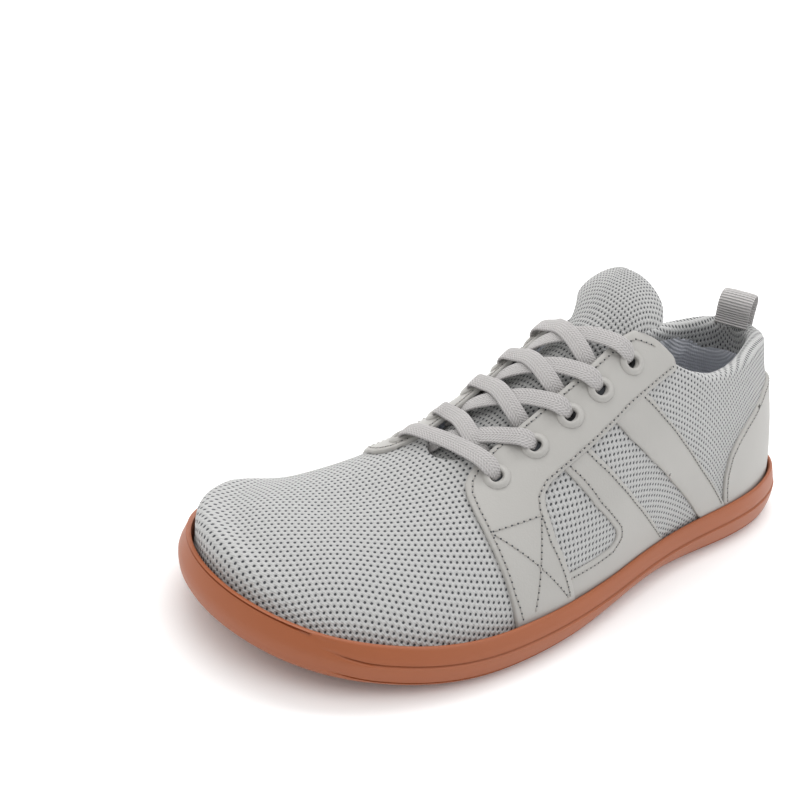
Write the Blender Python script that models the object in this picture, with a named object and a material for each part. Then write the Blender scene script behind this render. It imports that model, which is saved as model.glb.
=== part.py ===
# Left barefoot shoe: wide cup sole, hollow mesh upper on a foot-shaped last, leather overlays, flat lace
# Metres, +X toward the toe, +Y toward the outer (lateral) side, +Z up, standing on the sole
import functools
import math

import bmesh
import bpy
import numpy as np
from mathutils import Vector, geometry

# Sole
SOLE_LENGTH = 0.292
BALL_WIDTH = 0.120
HEEL_WALL = 0.0214
FORE_WALL = 0.0155
SOLE_FLOOR = 0.0050
TOE_SPRING = 0.0123
SPRING_FROM = 0.70
SPRING_POWER = 1.8
ARCH_LIFT = 0.0022
ARCH_PLACE = 0.43
ARCH_SPREAD = 0.10
ARCH_REACH = 0.072
WAIST_TUCK = 0.0050
WAIST_PLACE = 0.42
WAIST_SPREAD = 0.13
CONTACT_INSET = 0.0055
LIP_INSET = 0.0044
MARGIN_WIDTH = 0.0085
TREAD_DEPTH = 0.0020
TREAD_DRAFT = 0.0006

# Tread
LUG_FROM = 0.205
LUG_TO = 0.80
LUG_SIDE = 0.0090
LUG_ROW = 0.0106
LUG_PITCH = 0.0067
WAIST_LUG = 0.80
WAIST_LUGS_FROM = 0.30
WAIST_LUGS_TO = 0.58
RIB_PITCH = 0.0106
RIB_WIDTH = 0.0050
RIB_PERIOD = 0.0120
RIB_SWING = 0.0017
PAD_LENGTH = 0.031
PAD_WIDTH = 0.027
PAD_PLACE = 0.46
TREAD_CLEAR = 0.0012

# Last and upper
LAST_TOP = 0.115
HEEL_HEIGHT = 0.080
UPPER_INSET = 0.0050
UPPER_WALL = 0.0020
COLLAR_WALL = 0.0065
COLLAR_ROLL = 0.0020
PADDING_ENDS = 0.38
SPINE_SHIFT = 0.0050
THROAT_HALF = 0.0205
THROAT_BACK = 0.43
THROAT_FRONT = 0.70
THROAT_ROUND = 0.05
INNER_FORWARD = 0.032
SEAT_GAP = 0.0003
LIP_GAP = 0.0005

# Pieces on and in the upper
INSOLE_THICK = 0.0035
INSOLE_GAP = 0.0020
OVERLAY_GAP = 0.0005
OVERLAY_THICK = 0.0012
EYELET_RADIUS = 0.0050
EYELET_HOLE = 0.0023
EYELET_HEIGHT = 0.0011
TONGUE_HALF = 0.0250
TONGUE_THICK = 0.0060
TONGUE_GAP = 0.0014
TONGUE_RISE = 0.0090
TONGUE_LEAN = 0.0080
LACE_WIDTH = 0.0068
LACE_THICK = 0.0013
LACE_TUCK = 0.0085
LACE_START = 0.0012
LOOP_WIDTH = 0.0150
LOOP_THICK = 0.0016
LOOP_HEIGHT = 0.0160
LOOP_RADIUS = 0.0055
LOOP_TURN = -0.15

# Fineness of the solids
STATIONS = 36
WALL_ROWS = 8
RING_STEPS = 10
PANEL_STEP = 0.0085
LACE_STEPS = 8
TONGUE_COLUMNS = (-1.0, -0.8, -0.4, 0.0, 0.4, 0.8, 1.0)

OUTLINE = (
    # share of length, lateral fullness, medial fullness
    (0.00, 0.660, 0.680),
    (0.05, 0.557, 0.582),
    (0.12, 0.492, 0.499),
    (0.20, 0.451, 0.420),
    (0.30, 0.420, 0.356),
    (0.40, 0.430, 0.304),
    (0.50, 0.479, 0.306),
    (0.60, 0.541, 0.377),
    (0.70, 0.604, 0.463),
    (0.80, 0.668, 0.556),
    (0.88, 0.717, 0.643),
    (0.95, 0.771, 0.731),
    (1.00, 0.800, 0.790),
)
HEEL_SIDE = -0.020
TOE_SIDE = -0.055

LAST = (
    # share of length, share at the crest, crest height as a share of LAST_TOP, section fullness
    (0.00, 0.152, 1.000, 1.50),
    (0.10, 0.198, 1.000, 1.54),
    (0.20, 0.257, 1.000, 1.74),
    (0.30, 0.330, 0.990, 2.05),
    (0.40, 0.410, 0.940, 2.10),
    (0.48, 0.485, 0.830, 2.05),
    (0.56, 0.560, 0.680, 1.95),
    (0.64, 0.635, 0.530, 1.88),
    (0.72, 0.705, 0.425, 1.90),
    (0.80, 0.765, 0.360, 2.05),
    (0.90, 0.815, 0.330, 2.30),
    (1.00, 0.840, 0.322, 2.55),
)

COLLAR = (
    # share of length, height of the edge as a share of HEEL_HEIGHT
    (0.00, 1.000),
    (0.06, 0.990),
    (0.14, 0.955),
    (0.22, 0.935),
    (0.30, 0.960),
    (0.36, 1.050),
    (0.40, 1.140),
    (0.45, 1.200),
)

WALL_PROFILE = (
    # inset from the widest line in metres, height as a share of the wall
    (0.0032, 0.045),
    (0.0010, 0.160),
    (0.0003, 0.260),
    (0.0000, 0.420),
    (0.0001, 0.600),
    (0.0009, 0.640),
    (0.0010, 0.700),
    (0.0022, 0.900),
    (0.0031, 1.000),
    (0.0040, 0.985),
)

QUARTER_EDGE = (
    # share of length, share of the wall above the lip, round the front panel and the eyestay
    (0.690, 0.000),
    (0.692, 0.135),
    (0.696, 0.326),
    (0.699, 0.506),
    (0.697, 0.652),
    (0.692, 0.736),
    (0.676, 0.775),
    (0.640, 0.809),
    (0.560, 0.820),
    (0.500, 0.829),
    (0.452, 0.840),
    (0.425, 0.826),
    (0.400, 0.753),
    (0.376, 0.663),
    (0.382, 0.612),
    (0.450, 0.607),
    (0.526, 0.596),
    (0.500, 0.404),
    (0.440, 0.174),
    (0.369, 0.000),
    (0.500, 0.000),
    (0.600, 0.000),
)
WINDOW = (
    # share of length, share of the wall above the lip, round the mesh window of the quarter
    (0.580, 0.522),
    (0.545, 0.371),
    (0.503, 0.202),
    (0.500, 0.118),
    (0.550, 0.118),
    (0.598, 0.133),
    (0.614, 0.292),
    (0.622, 0.461),
    (0.606, 0.528),
)
STRIPE = (
    # share of length, share of the wall above the lip, round the rear stripe
    (0.487, 0.579),
    (0.448, 0.438),
    (0.400, 0.264),
    (0.340, 0.101),
    (0.282, 0.000),
    (0.232, 0.000),
    (0.285, 0.124),
    (0.340, 0.287),
    (0.390, 0.438),
    (0.430, 0.579),
)
COUNTER = (
    # share of length, share of the wall above the lip, up the front edge of the heel counter
    (0.232, 0.000),
    (0.241, 0.162),
    (0.237, 0.245),
    (0.215, 0.283),
    (0.180, 0.303),
    (0.135, 0.348),
    (0.080, 0.393),
    (0.030, 0.410),
)
TONGUE = (
    # share of length, half width as a share of TONGUE_HALF, flatness, lift as a share of TONGUE_RISE
    (0.735, 0.80, 0.00, 0.00),
    (0.690, 0.82, 0.00, 0.00),
    (0.640, 0.84, 0.00, 0.00),
    (0.590, 0.88, 0.00, 0.00),
    (0.540, 0.90, 0.00, 0.00),
    (0.490, 0.88, 0.00, 0.00),
    (0.458, 0.70, 0.10, 0.12),
    (0.430, 0.72, 0.42, 0.50),
    (0.402, 0.90, 0.58, 0.72),
    (0.376, 1.08, 0.50, 0.84),
    (0.358, 1.10, 0.46, 0.92),
    (0.345, 0.94, 0.44, 0.94),
)
EYELETS = (
    # share of length, share of the wall above the lip
    (0.656, 0.663),
    (0.600, 0.691),
    (0.549, 0.713),
    (0.503, 0.727),
    (0.451, 0.739),
)


def smooth_step(low, high, value):
    share = min(max((value - low) / (high - low), 0.0), 1.0)
    return share * share * (3 - 2 * share)


@functools.lru_cache(maxsize=None)
def curve_bends(rows, column):
    """Places, values and second slopes of a natural cubic curve through one column of a table."""
    places = np.array([row[0] for row in rows])
    values = np.array([row[column] for row in rows])
    steps = np.diff(places)
    count = len(places)
    matrix = np.eye(count)
    slopes = np.zeros(count)
    for i in range(1, count - 1):
        matrix[i, i - 1:i + 2] = steps[i - 1], 2 * (steps[i - 1] + steps[i]), steps[i]
        slopes[i] = 6 * ((values[i + 1] - values[i]) / steps[i] - (values[i] - values[i - 1]) / steps[i - 1])
    return places, values, np.linalg.solve(matrix, slopes)


def natural_curve(rows, column, share):
    """The curve through one column of a table, read at a share of the length."""
    places, values, bends = curve_bends(rows, column)
    at = np.clip(share, places[0], places[-1])
    i = np.clip(np.searchsorted(places, at) - 1, 0, len(places) - 2)
    before = at - places[i]
    after = places[i + 1] - at
    step = places[i + 1] - places[i]
    cubic = (bends[i] * after**3 + bends[i + 1] * before**3) / (6 * step)
    return (cubic + (values[i] / step - bends[i] * step / 6) * after
            + (values[i + 1] / step - bends[i + 1] * step / 6) * before)


def share_of(turn):
    """Share of the length at a turn: 0 at the heel, pi at the toe, minus on the inner side."""
    return (1 - np.cos(turn)) / 2


def turn_of(share, side=1):
    return side * math.acos(1 - 2 * share)


def outline(turn):
    """Widest line of the sole, seen from above."""
    share = share_of(turn)
    swing = np.sin(turn)
    fullness = np.where(swing >= 0, natural_curve(OUTLINE, 1, share), natural_curve(OUTLINE, 2, share))
    across = HEEL_SIDE + (TOE_SIDE - HEEL_SIDE) * share + fullness * swing
    return np.stack([share * SOLE_LENGTH, across * BALL_WIDTH], -1)


def inset_outline(turn, inset):
    """The outline moved inward, square to itself."""
    nudge = 1e-4
    along = outline(turn + nudge) - outline(turn - nudge)
    along = along / np.linalg.norm(along, axis=-1, keepdims=True)
    inward = np.stack([along[..., 1], -along[..., 0]], -1)
    return outline(turn) + inward * np.asarray(inset)[..., None]


def underside(x, y):
    """Height of the sole's underside: flat heel and ball, toe spring, low inner arch."""
    share = x / SOLE_LENGTH
    spring = TOE_SPRING * np.clip((share - SPRING_FROM) / (1 - SPRING_FROM), 0, None) ** SPRING_POWER
    inner = np.clip(0.5 - y / ARCH_REACH, 0, 1)
    return spring + ARCH_LIFT * np.exp(-((share - ARCH_PLACE) / ARCH_SPREAD) ** 2) * inner


def wall_height(share):
    return FORE_WALL + (HEEL_WALL - FORE_WALL) * np.clip(1 - 2 * share, 0, 1)


def waist(share):
    return math.exp(-((share - WAIST_PLACE) / WAIST_SPREAD) ** 2)


def crest_side(x):
    """Middle line of the upper, a little toward the inner side."""
    turn = np.arccos(1 - 2 * x / SOLE_LENGTH)
    return (outline(turn)[..., 1] + outline(-turn)[..., 1]) / 2 - SPINE_SHIFT


@functools.lru_cache(maxsize=4096)
def section(turn):
    """One section of the last: base, crest, and its rounded profile from sole to crest."""
    share = share_of(turn)
    base = inset_outline(turn, UPPER_INSET)
    low = underside(base[0], base[1]) + SOLE_FLOOR + SEAT_GAP
    crest_x = natural_curve(LAST, 1, share) * SOLE_LENGTH
    crest = np.array([crest_x, crest_side(crest_x)])
    high = natural_curve(LAST, 2, share) * LAST_TOP
    power = 2 / natural_curve(LAST, 3, share)
    sweep = np.linspace(0, math.pi / 2, 81)
    up = np.sin(sweep) ** power
    across = 1 - np.cos(sweep) ** power
    width = math.dist(crest, base)
    steps = np.hypot(np.diff(up) * (high - low), np.diff(across) * width)
    run = np.concatenate([[0], np.cumsum(steps)])
    return base, crest, width, low + (high - low) * up, across, run / run[-1]


def last_point(turn, rise):
    """Outer face of the upper at a share of the way from the sole to the crest."""
    base, crest, _, heights, across, run = section(turn)
    flat = base + (crest - base) * np.interp(rise, run, across)
    return np.array([flat[0], flat[1], np.interp(rise, run, heights)])


def wall_normal(turn, rise):
    """Outward direction of the upper's outer face and the place it stands on."""
    nudge = 1e-3
    low_rise = min(max(rise - nudge, 0), 1 - 2 * nudge)
    up = last_point(turn, low_rise + 2 * nudge) - last_point(turn, low_rise)
    beside = min(rise, 1 - 2 * nudge)
    along = last_point(turn + nudge, beside) - last_point(turn - nudge, beside)
    normal = np.cross(up, along)
    return normal / np.linalg.norm(normal), last_point(turn, rise)


def wall_point(turn, rise, out=0.0):
    """A point a distance out from the upper's outer face, minus for inside it."""
    if out == 0:
        return last_point(turn, rise)
    normal, point = wall_normal(turn, rise)
    return point + normal * out


def rise_at_height(turn, height):
    _, _, _, heights, _, run = section(turn)
    return float(np.interp(height, heights, run))


def rise_at_half(turn, half):
    """Share of the wall where it comes within half of the crest, seen from above."""
    _, _, width, _, across, run = section(turn)
    return float(np.interp(1 - half / width, across, run))


def rise_over_lip(turn, share):
    """Share of the whole wall for a share of the wall that stands above the sole's lip."""
    spot = inset_outline(turn, UPPER_INSET)
    lip = underside(spot[0], spot[1]) + wall_height(float(share_of(turn))) + LIP_GAP
    low = rise_at_height(turn, lip)
    return low + (1 - low) * share


def throat_half(share):
    closing = math.sqrt(min(max((THROAT_FRONT - share) / THROAT_ROUND, 0), 1))
    return THROAT_HALF * closing * (1 - 0.25 * (share - THROAT_BACK) / (THROAT_FRONT - THROAT_BACK))


def edge_rise(turn):
    """Share of the wall where the upper ends, at the collar and the throat; 1 on the closed vamp."""
    share = float(share_of(turn))
    if share >= THROAT_FRONT:
        return 1.0
    collar = rise_at_height(turn, natural_curve(COLLAR, 1, share) * HEEL_HEIGHT)
    throat = rise_at_half(turn, throat_half(share))
    return collar + (throat - collar) * smooth_step(0.395, 0.445, share)


def wall_thickness(turn, rise, edge):
    """Thin mesh wall, padded round the collar."""
    share = float(share_of(turn))
    padding = smooth_step(edge - 0.28, edge - 0.10, rise)
    fading = 1 - smooth_step(PADDING_ENDS - 0.08, PADDING_ENDS, share)
    return UPPER_WALL + (COLLAR_WALL - UPPER_WALL) * padding * fading


def turns_round():
    """Turns of the stations round the shoe, paired across its length."""
    return [math.pi * k / STATIONS for k in range(STATIONS + 1)] + [
        -math.pi * k / STATIONS for k in range(STATIONS - 1, 0, -1)]


def ladder(first, count):
    """Faces across a ring of paired stations, heel to toe."""
    faces = [(first, first + 1, first + count - 1)]
    half = count // 2
    for k in range(1, half - 1):
        faces.append((first + k, first + k + 1, first + count - k - 1, first + count - k))
    faces.append((first + half - 1, first + half, first + half + 1))
    return faces


def ring_faces(low, high, count):
    return [(low + k, low + (k + 1) % count, high + (k + 1) % count, high + k) for k in range(count)]


def inside(point, loop):
    """True when a point lies in a closed loop, both seen from above."""
    found = False
    for (x1, y1), (x2, y2) in zip(loop, loop[1:] + loop[:1]):
        if (y1 > point[1]) != (y2 > point[1]):
            found ^= point[0] < x1 + (point[1] - y1) * (x2 - x1) / (y2 - y1)
    return found


def flat_triangles(loop, holes, extra=()):
    """Points and triangles of a flat region with holes; the points keep their order."""
    loops = [list(loop)] + [list(hole) for hole in holes]
    points = [point for ring in loops for point in ring]
    edges = []
    start = 0
    for ring in loops:
        edges += [(start + i, start + (i + 1) % len(ring)) for i in range(len(ring))]
        start += len(ring)
    points += list(extra)
    result = geometry.delaunay_2d_cdt([Vector(point) for point in points], edges, [], 0, 1e-7)
    source = [origins[0] for origins in result[3]]
    triangles = []
    for face in result[2]:
        corners = [source[i] for i in face]
        middle = np.mean([points[i] for i in corners], axis=0)
        if inside(middle, loops[0]) and not any(inside(middle, hole) for hole in loops[1:]):
            triangles.append(corners)
    return points, triangles


def make_material(name, color, roughness):
    material = bpy.data.materials.new(name)
    material.use_nodes = True
    shader = material.node_tree.nodes["Principled BSDF"]
    shader.inputs["Base Color"].default_value = (*color, 1)
    shader.inputs["Roughness"].default_value = roughness
    shader.inputs["Metallic"].default_value = 0.0
    return material


SIDES = [outline(turn)[1] for turn in turns_round()]
MIDDLE_Y = (max(SIDES) + min(SIDES)) / 2


def make_object(name, points, faces, material, smooth=True):
    """One named object from points in the shoe's own frame, set down with the sole's middle at the origin."""
    mesh = bpy.data.meshes.new(name)
    mesh.from_pydata([tuple(map(float, point)) for point in points], [], faces)
    shape = bmesh.new()
    shape.from_mesh(mesh)
    bmesh.ops.recalc_face_normals(shape, faces=shape.faces)
    shape.to_mesh(mesh)
    shape.free()
    if smooth:
        mesh.shade_smooth()
        mesh.set_sharp_from_angle(angle=math.radians(40))
    mesh.materials.append(material)
    piece = bpy.data.objects.new(name, mesh)
    piece.location = (-SOLE_LENGTH / 2, -MIDDLE_Y, 0)
    bpy.context.collection.objects.link(piece)
    return piece


def contact_inset(share):
    return CONTACT_INSET + WAIST_TUCK * waist(share)


def field_inset(share):
    return contact_inset(share) + MARGIN_WIDTH


def inset_loop(extra):
    return [tuple(inset_outline(turn, field_inset(float(share_of(turn))) + extra)) for turn in turns_round()]


def lug_rows():
    """Places along the sole of the rows of lugs."""
    count = int((LUG_TO - LUG_FROM) * SOLE_LENGTH / LUG_ROW) + 1
    return [LUG_FROM * SOLE_LENGTH + row * LUG_ROW for row in range(count)]


def triangle_lugs(border):
    """Corners of the triangular lugs between heel and ball, in rows that point to and fro."""
    lugs = []
    middle = PAD_PLACE * SOLE_LENGTH
    height = LUG_SIDE * math.sqrt(3) / 2
    pad_y = crest_side(middle) + SPINE_SHIFT
    for row, x in enumerate(lug_rows()):
        size = WAIST_LUG if WAIST_LUGS_FROM < x / SOLE_LENGTH < WAIST_LUGS_TO else 1.0
        reach = int(BALL_WIDTH / LUG_PITCH / 2) + 1
        for column in range(-reach, reach + 1):
            y = column * LUG_PITCH
            point = 1 if (row + column) % 2 else -1
            half_x = point * size * height / 2
            half_y = size * LUG_SIDE / 2
            lug = [(x + half_x, y), (x - half_x, y + half_y), (x - half_x, y - half_y)]
            off_x = (x - middle) / (PAD_LENGTH / 2 + LUG_SIDE / 2 + TREAD_CLEAR)
            off_y = (y - pad_y) / (PAD_WIDTH / 2 + LUG_SIDE / 2 + TREAD_CLEAR)
            if math.hypot(off_x, off_y) > 1 and all(inside(corner, border) for corner in lug):
                lugs.append(lug)
    return lugs


def wave_ribs(border):
    """Outlines of the zigzag ribs across the heel and the toe."""
    ribs = []
    clear = (LUG_SIDE + RIB_WIDTH) / 2 + RIB_SWING + TREAD_CLEAR
    heel = lug_rows()[0] - clear
    toe = lug_rows()[-1] + clear
    count = int(heel / RIB_PITCH) + 1
    for x in [heel - RIB_PITCH * k for k in range(count)] + [toe + RIB_PITCH * k for k in range(count)]:
        reach = int(BALL_WIDTH / RIB_PERIOD)
        line = [(x + RIB_SWING * (-1) ** k, k * RIB_PERIOD / 2) for k in range(-reach, reach + 1)]
        line = [p for p in line if inside((p[0] + RIB_WIDTH / 2, p[1]), border)
                and inside((p[0] - RIB_WIDTH / 2, p[1]), border)]
        if len(line) > 2:
            ribs.append([(px + RIB_WIDTH / 2, py) for px, py in line]
                        + [(px - RIB_WIDTH / 2, py) for px, py in reversed(line)])
    return ribs


def oval_pad():
    middle = PAD_PLACE * SOLE_LENGTH
    across = crest_side(middle) + SPINE_SHIFT
    angles = [2 * math.pi * k / 20 for k in range(20)]
    return [(middle + PAD_LENGTH / 2 * math.cos(a), across + PAD_WIDTH / 2 * math.sin(a)) for a in angles]


def make_outsole(material):
    """Cup sole: tread with lugs and ribs, flared wall with its step, rounded lip and the cup inside."""
    turns = turns_round()
    count = len(turns)
    rings = []

    def add_ring(inset_of, height_of):
        ring = []
        for turn in turns:
            share = float(share_of(turn))
            x, y = inset_outline(turn, inset_of(share))
            ring.append((x, y, underside(x, y) + height_of(share)))
        rings.append(ring)

    add_ring(lambda share: field_inset(share) + TREAD_DRAFT, lambda share: TREAD_DEPTH)
    add_ring(field_inset, lambda share: 0.0)
    add_ring(contact_inset, lambda share: 0.0)
    for inset, height in WALL_PROFILE:
        tuck = WAIST_TUCK * max(0.0, 1 - height / 0.6) ** 2
        add_ring(lambda share, inset=inset, tuck=tuck: inset + tuck * waist(share),
                 lambda share, height=height: height * wall_height(share))
    add_ring(lambda share: LIP_INSET, lambda share: 0.94 * wall_height(share))
    add_ring(lambda share: UPPER_INSET - SEAT_GAP, lambda share: SOLE_FLOOR)
    points = [point for ring in rings for point in ring]
    faces = []
    for k in range(len(rings) - 1):
        faces += ring_faces(k * count, (k + 1) * count, count)
    faces += ladder((len(rings) - 1) * count, count)

    border = inset_loop(TREAD_DRAFT + TREAD_CLEAR)
    blocks = triangle_lugs(border) + wave_ribs(border) + [oval_pad()]
    field = [(point[0], point[1]) for point in rings[0]]
    flat, triangles = flat_triangles(field, blocks)
    floor = list(range(count)) + list(range(len(points), len(points) + len(flat) - count))
    points += [(x, y, underside(x, y) + TREAD_DEPTH) for x, y in flat[count:]]
    faces += [tuple(floor[i] for i in corners) for corners in triangles]
    start = count
    for block in blocks:
        size = len(block)
        feet = [floor[start + i] for i in range(size)]
        tops = [len(points) + i for i in range(size)]
        points += [(x, y, underside(x, y)) for x, y in block]
        faces += [(feet[i], feet[(i + 1) % size], tops[(i + 1) % size], tops[i]) for i in range(size)]
        if size == 3:
            faces.append(tuple(tops))
        else:
            top_triangles = flat_triangles(block, [])[1]
            faces += [tuple(tops[i] for i in corners) for corners in top_triangles]
        start += size
    return make_object("outsole", points, faces, material)


def make_upper(material):
    """Hollow upper: outer face, inner face, padded collar roll, open throat and open underside."""
    turns = turns_round()
    count = len(turns)
    points = []
    grid = {}

    def add(point):
        points.append(point)
        return len(points) - 1

    for k, turn in enumerate(turns):
        edge = edge_rise(turn)
        for row in range(WALL_ROWS + 1):
            rise = edge * row / WALL_ROWS
            twin = (count - k) % count
            if edge == 1.0 and row == WALL_ROWS and (0, twin, row) in grid:
                for face in (0, 1, 2):
                    grid[face, k, row] = grid[face, twin, row]
                continue
            outer = wall_point(turn, rise)
            inner = wall_point(turn, rise, -wall_thickness(turn, rise, edge))
            if edge == 1.0 and row == WALL_ROWS:
                other = wall_point(-turn, rise, -UPPER_WALL)
                inner = (inner + other) / 2
            if row == 0:
                inner[2] = outer[2]
            grid[0, k, row] = add(outer)
            grid[1, k, row] = add(inner)
            if row == WALL_ROWS:
                below = wall_point(turn, max(rise - 0.02, 0))
                up = outer - below
                roll = COLLAR_ROLL * wall_thickness(turn, rise, edge) / COLLAR_WALL
                grid[2, k, row] = add((outer + inner) / 2 + up / np.linalg.norm(up) * roll)
    faces = []
    for k in range(count):
        after = (k + 1) % count
        for row in range(WALL_ROWS):
            for face in (0, 1):
                faces.append((grid[face, k, row], grid[face, after, row],
                              grid[face, after, row + 1], grid[face, k, row + 1]))
        faces.append((grid[0, k, 0], grid[0, after, 0], grid[1, after, 0], grid[1, k, 0]))
        if share_of(turns[k]) < THROAT_FRONT or share_of(turns[after]) < THROAT_FRONT:
            for face, other in ((0, 2), (2, 1)):
                faces.append((grid[face, k, WALL_ROWS], grid[face, after, WALL_ROWS],
                              grid[other, after, WALL_ROWS], grid[other, k, WALL_ROWS]))
    return make_object("upper", points, faces, material)


def make_insole(material):
    """Flat insole that lies in the cup, inside the upper."""
    turns = turns_round()
    count = len(turns)
    points = []
    for height in (SEAT_GAP, SEAT_GAP + INSOLE_THICK):
        for turn in turns:
            x, y = inset_outline(turn, UPPER_INSET + UPPER_WALL + INSOLE_GAP)
            points.append((x, y, underside(x, y) + SOLE_FLOOR + height))
    faces = ladder(0, count) + ladder(count, count) + ring_faces(0, count, count)
    return make_object("insole", points, faces, material)


def subdivided(loop, step):
    """A loop in flat metres with no edge longer than the step."""
    fine = []
    for (x1, y1), (x2, y2) in zip(loop, loop[1:] + loop[:1]):
        pieces = max(1, math.ceil(math.hypot(x2 - x1, y2 - y1) / step))
        fine += [(x1 + (x2 - x1) * i / pieces, y1 + (y2 - y1) * i / pieces) for i in range(pieces)]
    return fine


def edge_distance(point, loop):
    best = 1.0
    for start, end in zip(loop, loop[1:] + loop[:1]):
        along = np.subtract(end, start)
        share = np.clip(np.dot(np.subtract(point, start), along) / np.dot(along, along), 0, 1)
        best = min(best, math.dist(point, np.add(start, along * share)))
    return best


def make_overlay(name, rows, holes, side, material):
    """A leather piece that follows the upper's outer face, cut to an outline of turns and wall shares."""
    turn_scale = SOLE_LENGTH / 2
    rise_scale = LAST_TOP
    loop = subdivided([(turn * turn_scale, rise * rise_scale) for turn, rise in rows], PANEL_STEP)
    rings = [subdivided([(turn * turn_scale, rise * rise_scale) for turn, rise in hole], PANEL_STEP)
             for hole in holes]
    low = np.min(loop, axis=0)
    high = np.max(loop, axis=0)
    extra = []
    for i in range(int((high[0] - low[0]) / PANEL_STEP) + 1):
        for j in range(int((high[1] - low[1]) / PANEL_STEP) + 1):
            spot = (low[0] + i * PANEL_STEP, low[1] + j * PANEL_STEP)
            clear = min(edge_distance(spot, ring) for ring in [loop] + rings)
            open_spot = any(inside(spot, ring) for ring in rings)
            if clear > PANEL_STEP / 2 and inside(spot, loop) and not open_spot:
                extra.append(spot)
    flat, triangles = flat_triangles(loop, rings, extra)
    size = len(flat)
    points = []
    for out in (OVERLAY_GAP, OVERLAY_GAP + OVERLAY_THICK):
        for u, v in flat:
            turn = side * u / turn_scale
            points.append(wall_point(turn, rise_over_lip(turn, v / rise_scale), out))
    faces = [tuple(i + shift for i in corners) for shift in (0, size) for corners in triangles]
    uses = {}
    for corners in triangles:
        for a, b in zip(corners, corners[1:] + corners[:1]):
            uses.setdefault(frozenset((a, b)), []).append((a, b))
    faces += [(a, b, b + size, a + size) for pair in uses.values() if len(pair) == 1 for a, b in pair]
    return make_object(name, points, faces, material)


def side_rows(table, side):
    """Turns and wall shares of a table; on the inner side the lacing sits a little farther forward."""
    forward = INNER_FORWARD if side < 0 else 0.0
    return [(turn_of(share + forward * smooth_step(0.30, 0.65, rise)), rise) for share, rise in table]


def eyelet_places(side):
    rows = [(side * turn, share) for turn, share in side_rows(EYELETS, side)]
    return [(turn, rise_over_lip(turn, share)) for turn, share in rows]


def make_quarters(material):
    """Eyestay, front panel, window frame and stripe on each side."""
    for side, word in ((1, "lateral"), (-1, "medial")):
        hole_steps = [2 * math.pi * k / 8 for k in range(8)]
        holes = [side_rows(WINDOW, side)]
        for turn, rise in side_rows(EYELETS, side):
            holes.append([(turn + EYELET_HOLE / (SOLE_LENGTH / 2) * math.cos(a),
                           rise + EYELET_HOLE / LAST_TOP * math.sin(a)) for a in hole_steps])
        make_overlay(f"quarter_panel_{word}", side_rows(QUARTER_EDGE, side), holes, side, material)
        make_overlay(f"side_stripe_{word}", side_rows(STRIPE, side), [], side, material)


def make_counter(material):
    front = side_rows(COUNTER, 1)
    rows = front + [(-turn, rise) for turn, rise in reversed(front)]
    base = [(turn_of(COUNTER[0][0]) * k / 6, 0.0) for k in range(-5, 6)]
    return make_overlay("heel_counter", rows + base, [], 1, material)


def frame_at(turn, rise, out):
    """A point over the upper with its outward normal and the direction toward the toe."""
    point = wall_point(turn, rise, out)
    normal = wall_point(turn, rise, out + 0.001) - point
    normal = normal / np.linalg.norm(normal)
    along = last_point(turn + math.copysign(0.01, turn), rise) - last_point(turn, rise)
    along = along - normal * np.dot(along, normal)
    along = along / np.linalg.norm(along)
    return point, normal, along


def make_eyelets(material):
    """Turned rings seated on the eyestay."""
    profile = (
        # radius, height
        (EYELET_HOLE, 0.0),
        (EYELET_RADIUS, 0.0),
        (EYELET_RADIUS - 0.0007, EYELET_HEIGHT),
        (EYELET_HOLE + 0.0006, EYELET_HEIGHT),
    )
    for side, word in ((1, "lateral"), (-1, "medial")):
        for number, (turn, rise) in enumerate(eyelet_places(side), 1):
            center, normal, along = frame_at(turn, rise, OVERLAY_GAP + OVERLAY_THICK + SEAT_GAP)
            across = np.cross(normal, along)
            points = []
            for radius, height in profile:
                for k in range(RING_STEPS):
                    angle = 2 * math.pi * k / RING_STEPS
                    spread = along * math.cos(angle) + across * math.sin(angle)
                    points.append(center + spread * radius + normal * height)
            faces = []
            for k in range(len(profile)):
                faces += ring_faces(k * RING_STEPS, (k + 1) % len(profile) * RING_STEPS, RING_STEPS)
            make_object(f"eyelet_{word}_{number}", points, faces, material)


def make_tongue(material):
    """Padded tongue under the throat, rising free above the top eyelets."""
    points = []
    for layer in (0, 1):
        for share, fullness, flatness, lift in TONGUE:
            for column in TONGUE_COLUMNS:
                thick = TONGUE_THICK * (1 - 0.55 * abs(column) ** 3) * (1 - 0.5 * lift**4)
                depth = UPPER_WALL + TONGUE_GAP + TONGUE_THICK / 2 + (layer - 0.5) * thick
                turn = turn_of(share, 1 if column >= 0 else -1)
                point = wall_point(turn, rise_at_half(turn, abs(column) * fullness * TONGUE_HALF), -depth)
                if column == 0:
                    point = (point + wall_point(-turn, 1.0, -depth)) / 2
                drop = wall_point(turn, 1.0, -depth)[2] - point[2]
                rise = TONGUE_RISE * lift + flatness * drop
                points.append(point + np.array([TONGUE_LEAN * lift * lift, 0, rise]))
    width = len(TONGUE_COLUMNS)
    length = len(TONGUE)
    top = width * length
    faces = []
    for first in (0, top):
        for i in range(length - 1):
            for j in range(width - 1):
                a = first + i * width + j
                faces.append((a, a + 1, a + width + 1, a + width))
    border = list(range(width)) + [i * width + width - 1 for i in range(1, length)]
    border += list(range(top - 2, top - width - 1, -1)) + [i * width for i in range(length - 2, 0, -1)]
    faces += [(a, b, b + top, a + top) for a, b in zip(border, border[1:] + border[:1])]
    return make_object("tongue", points, faces, material)


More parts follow.
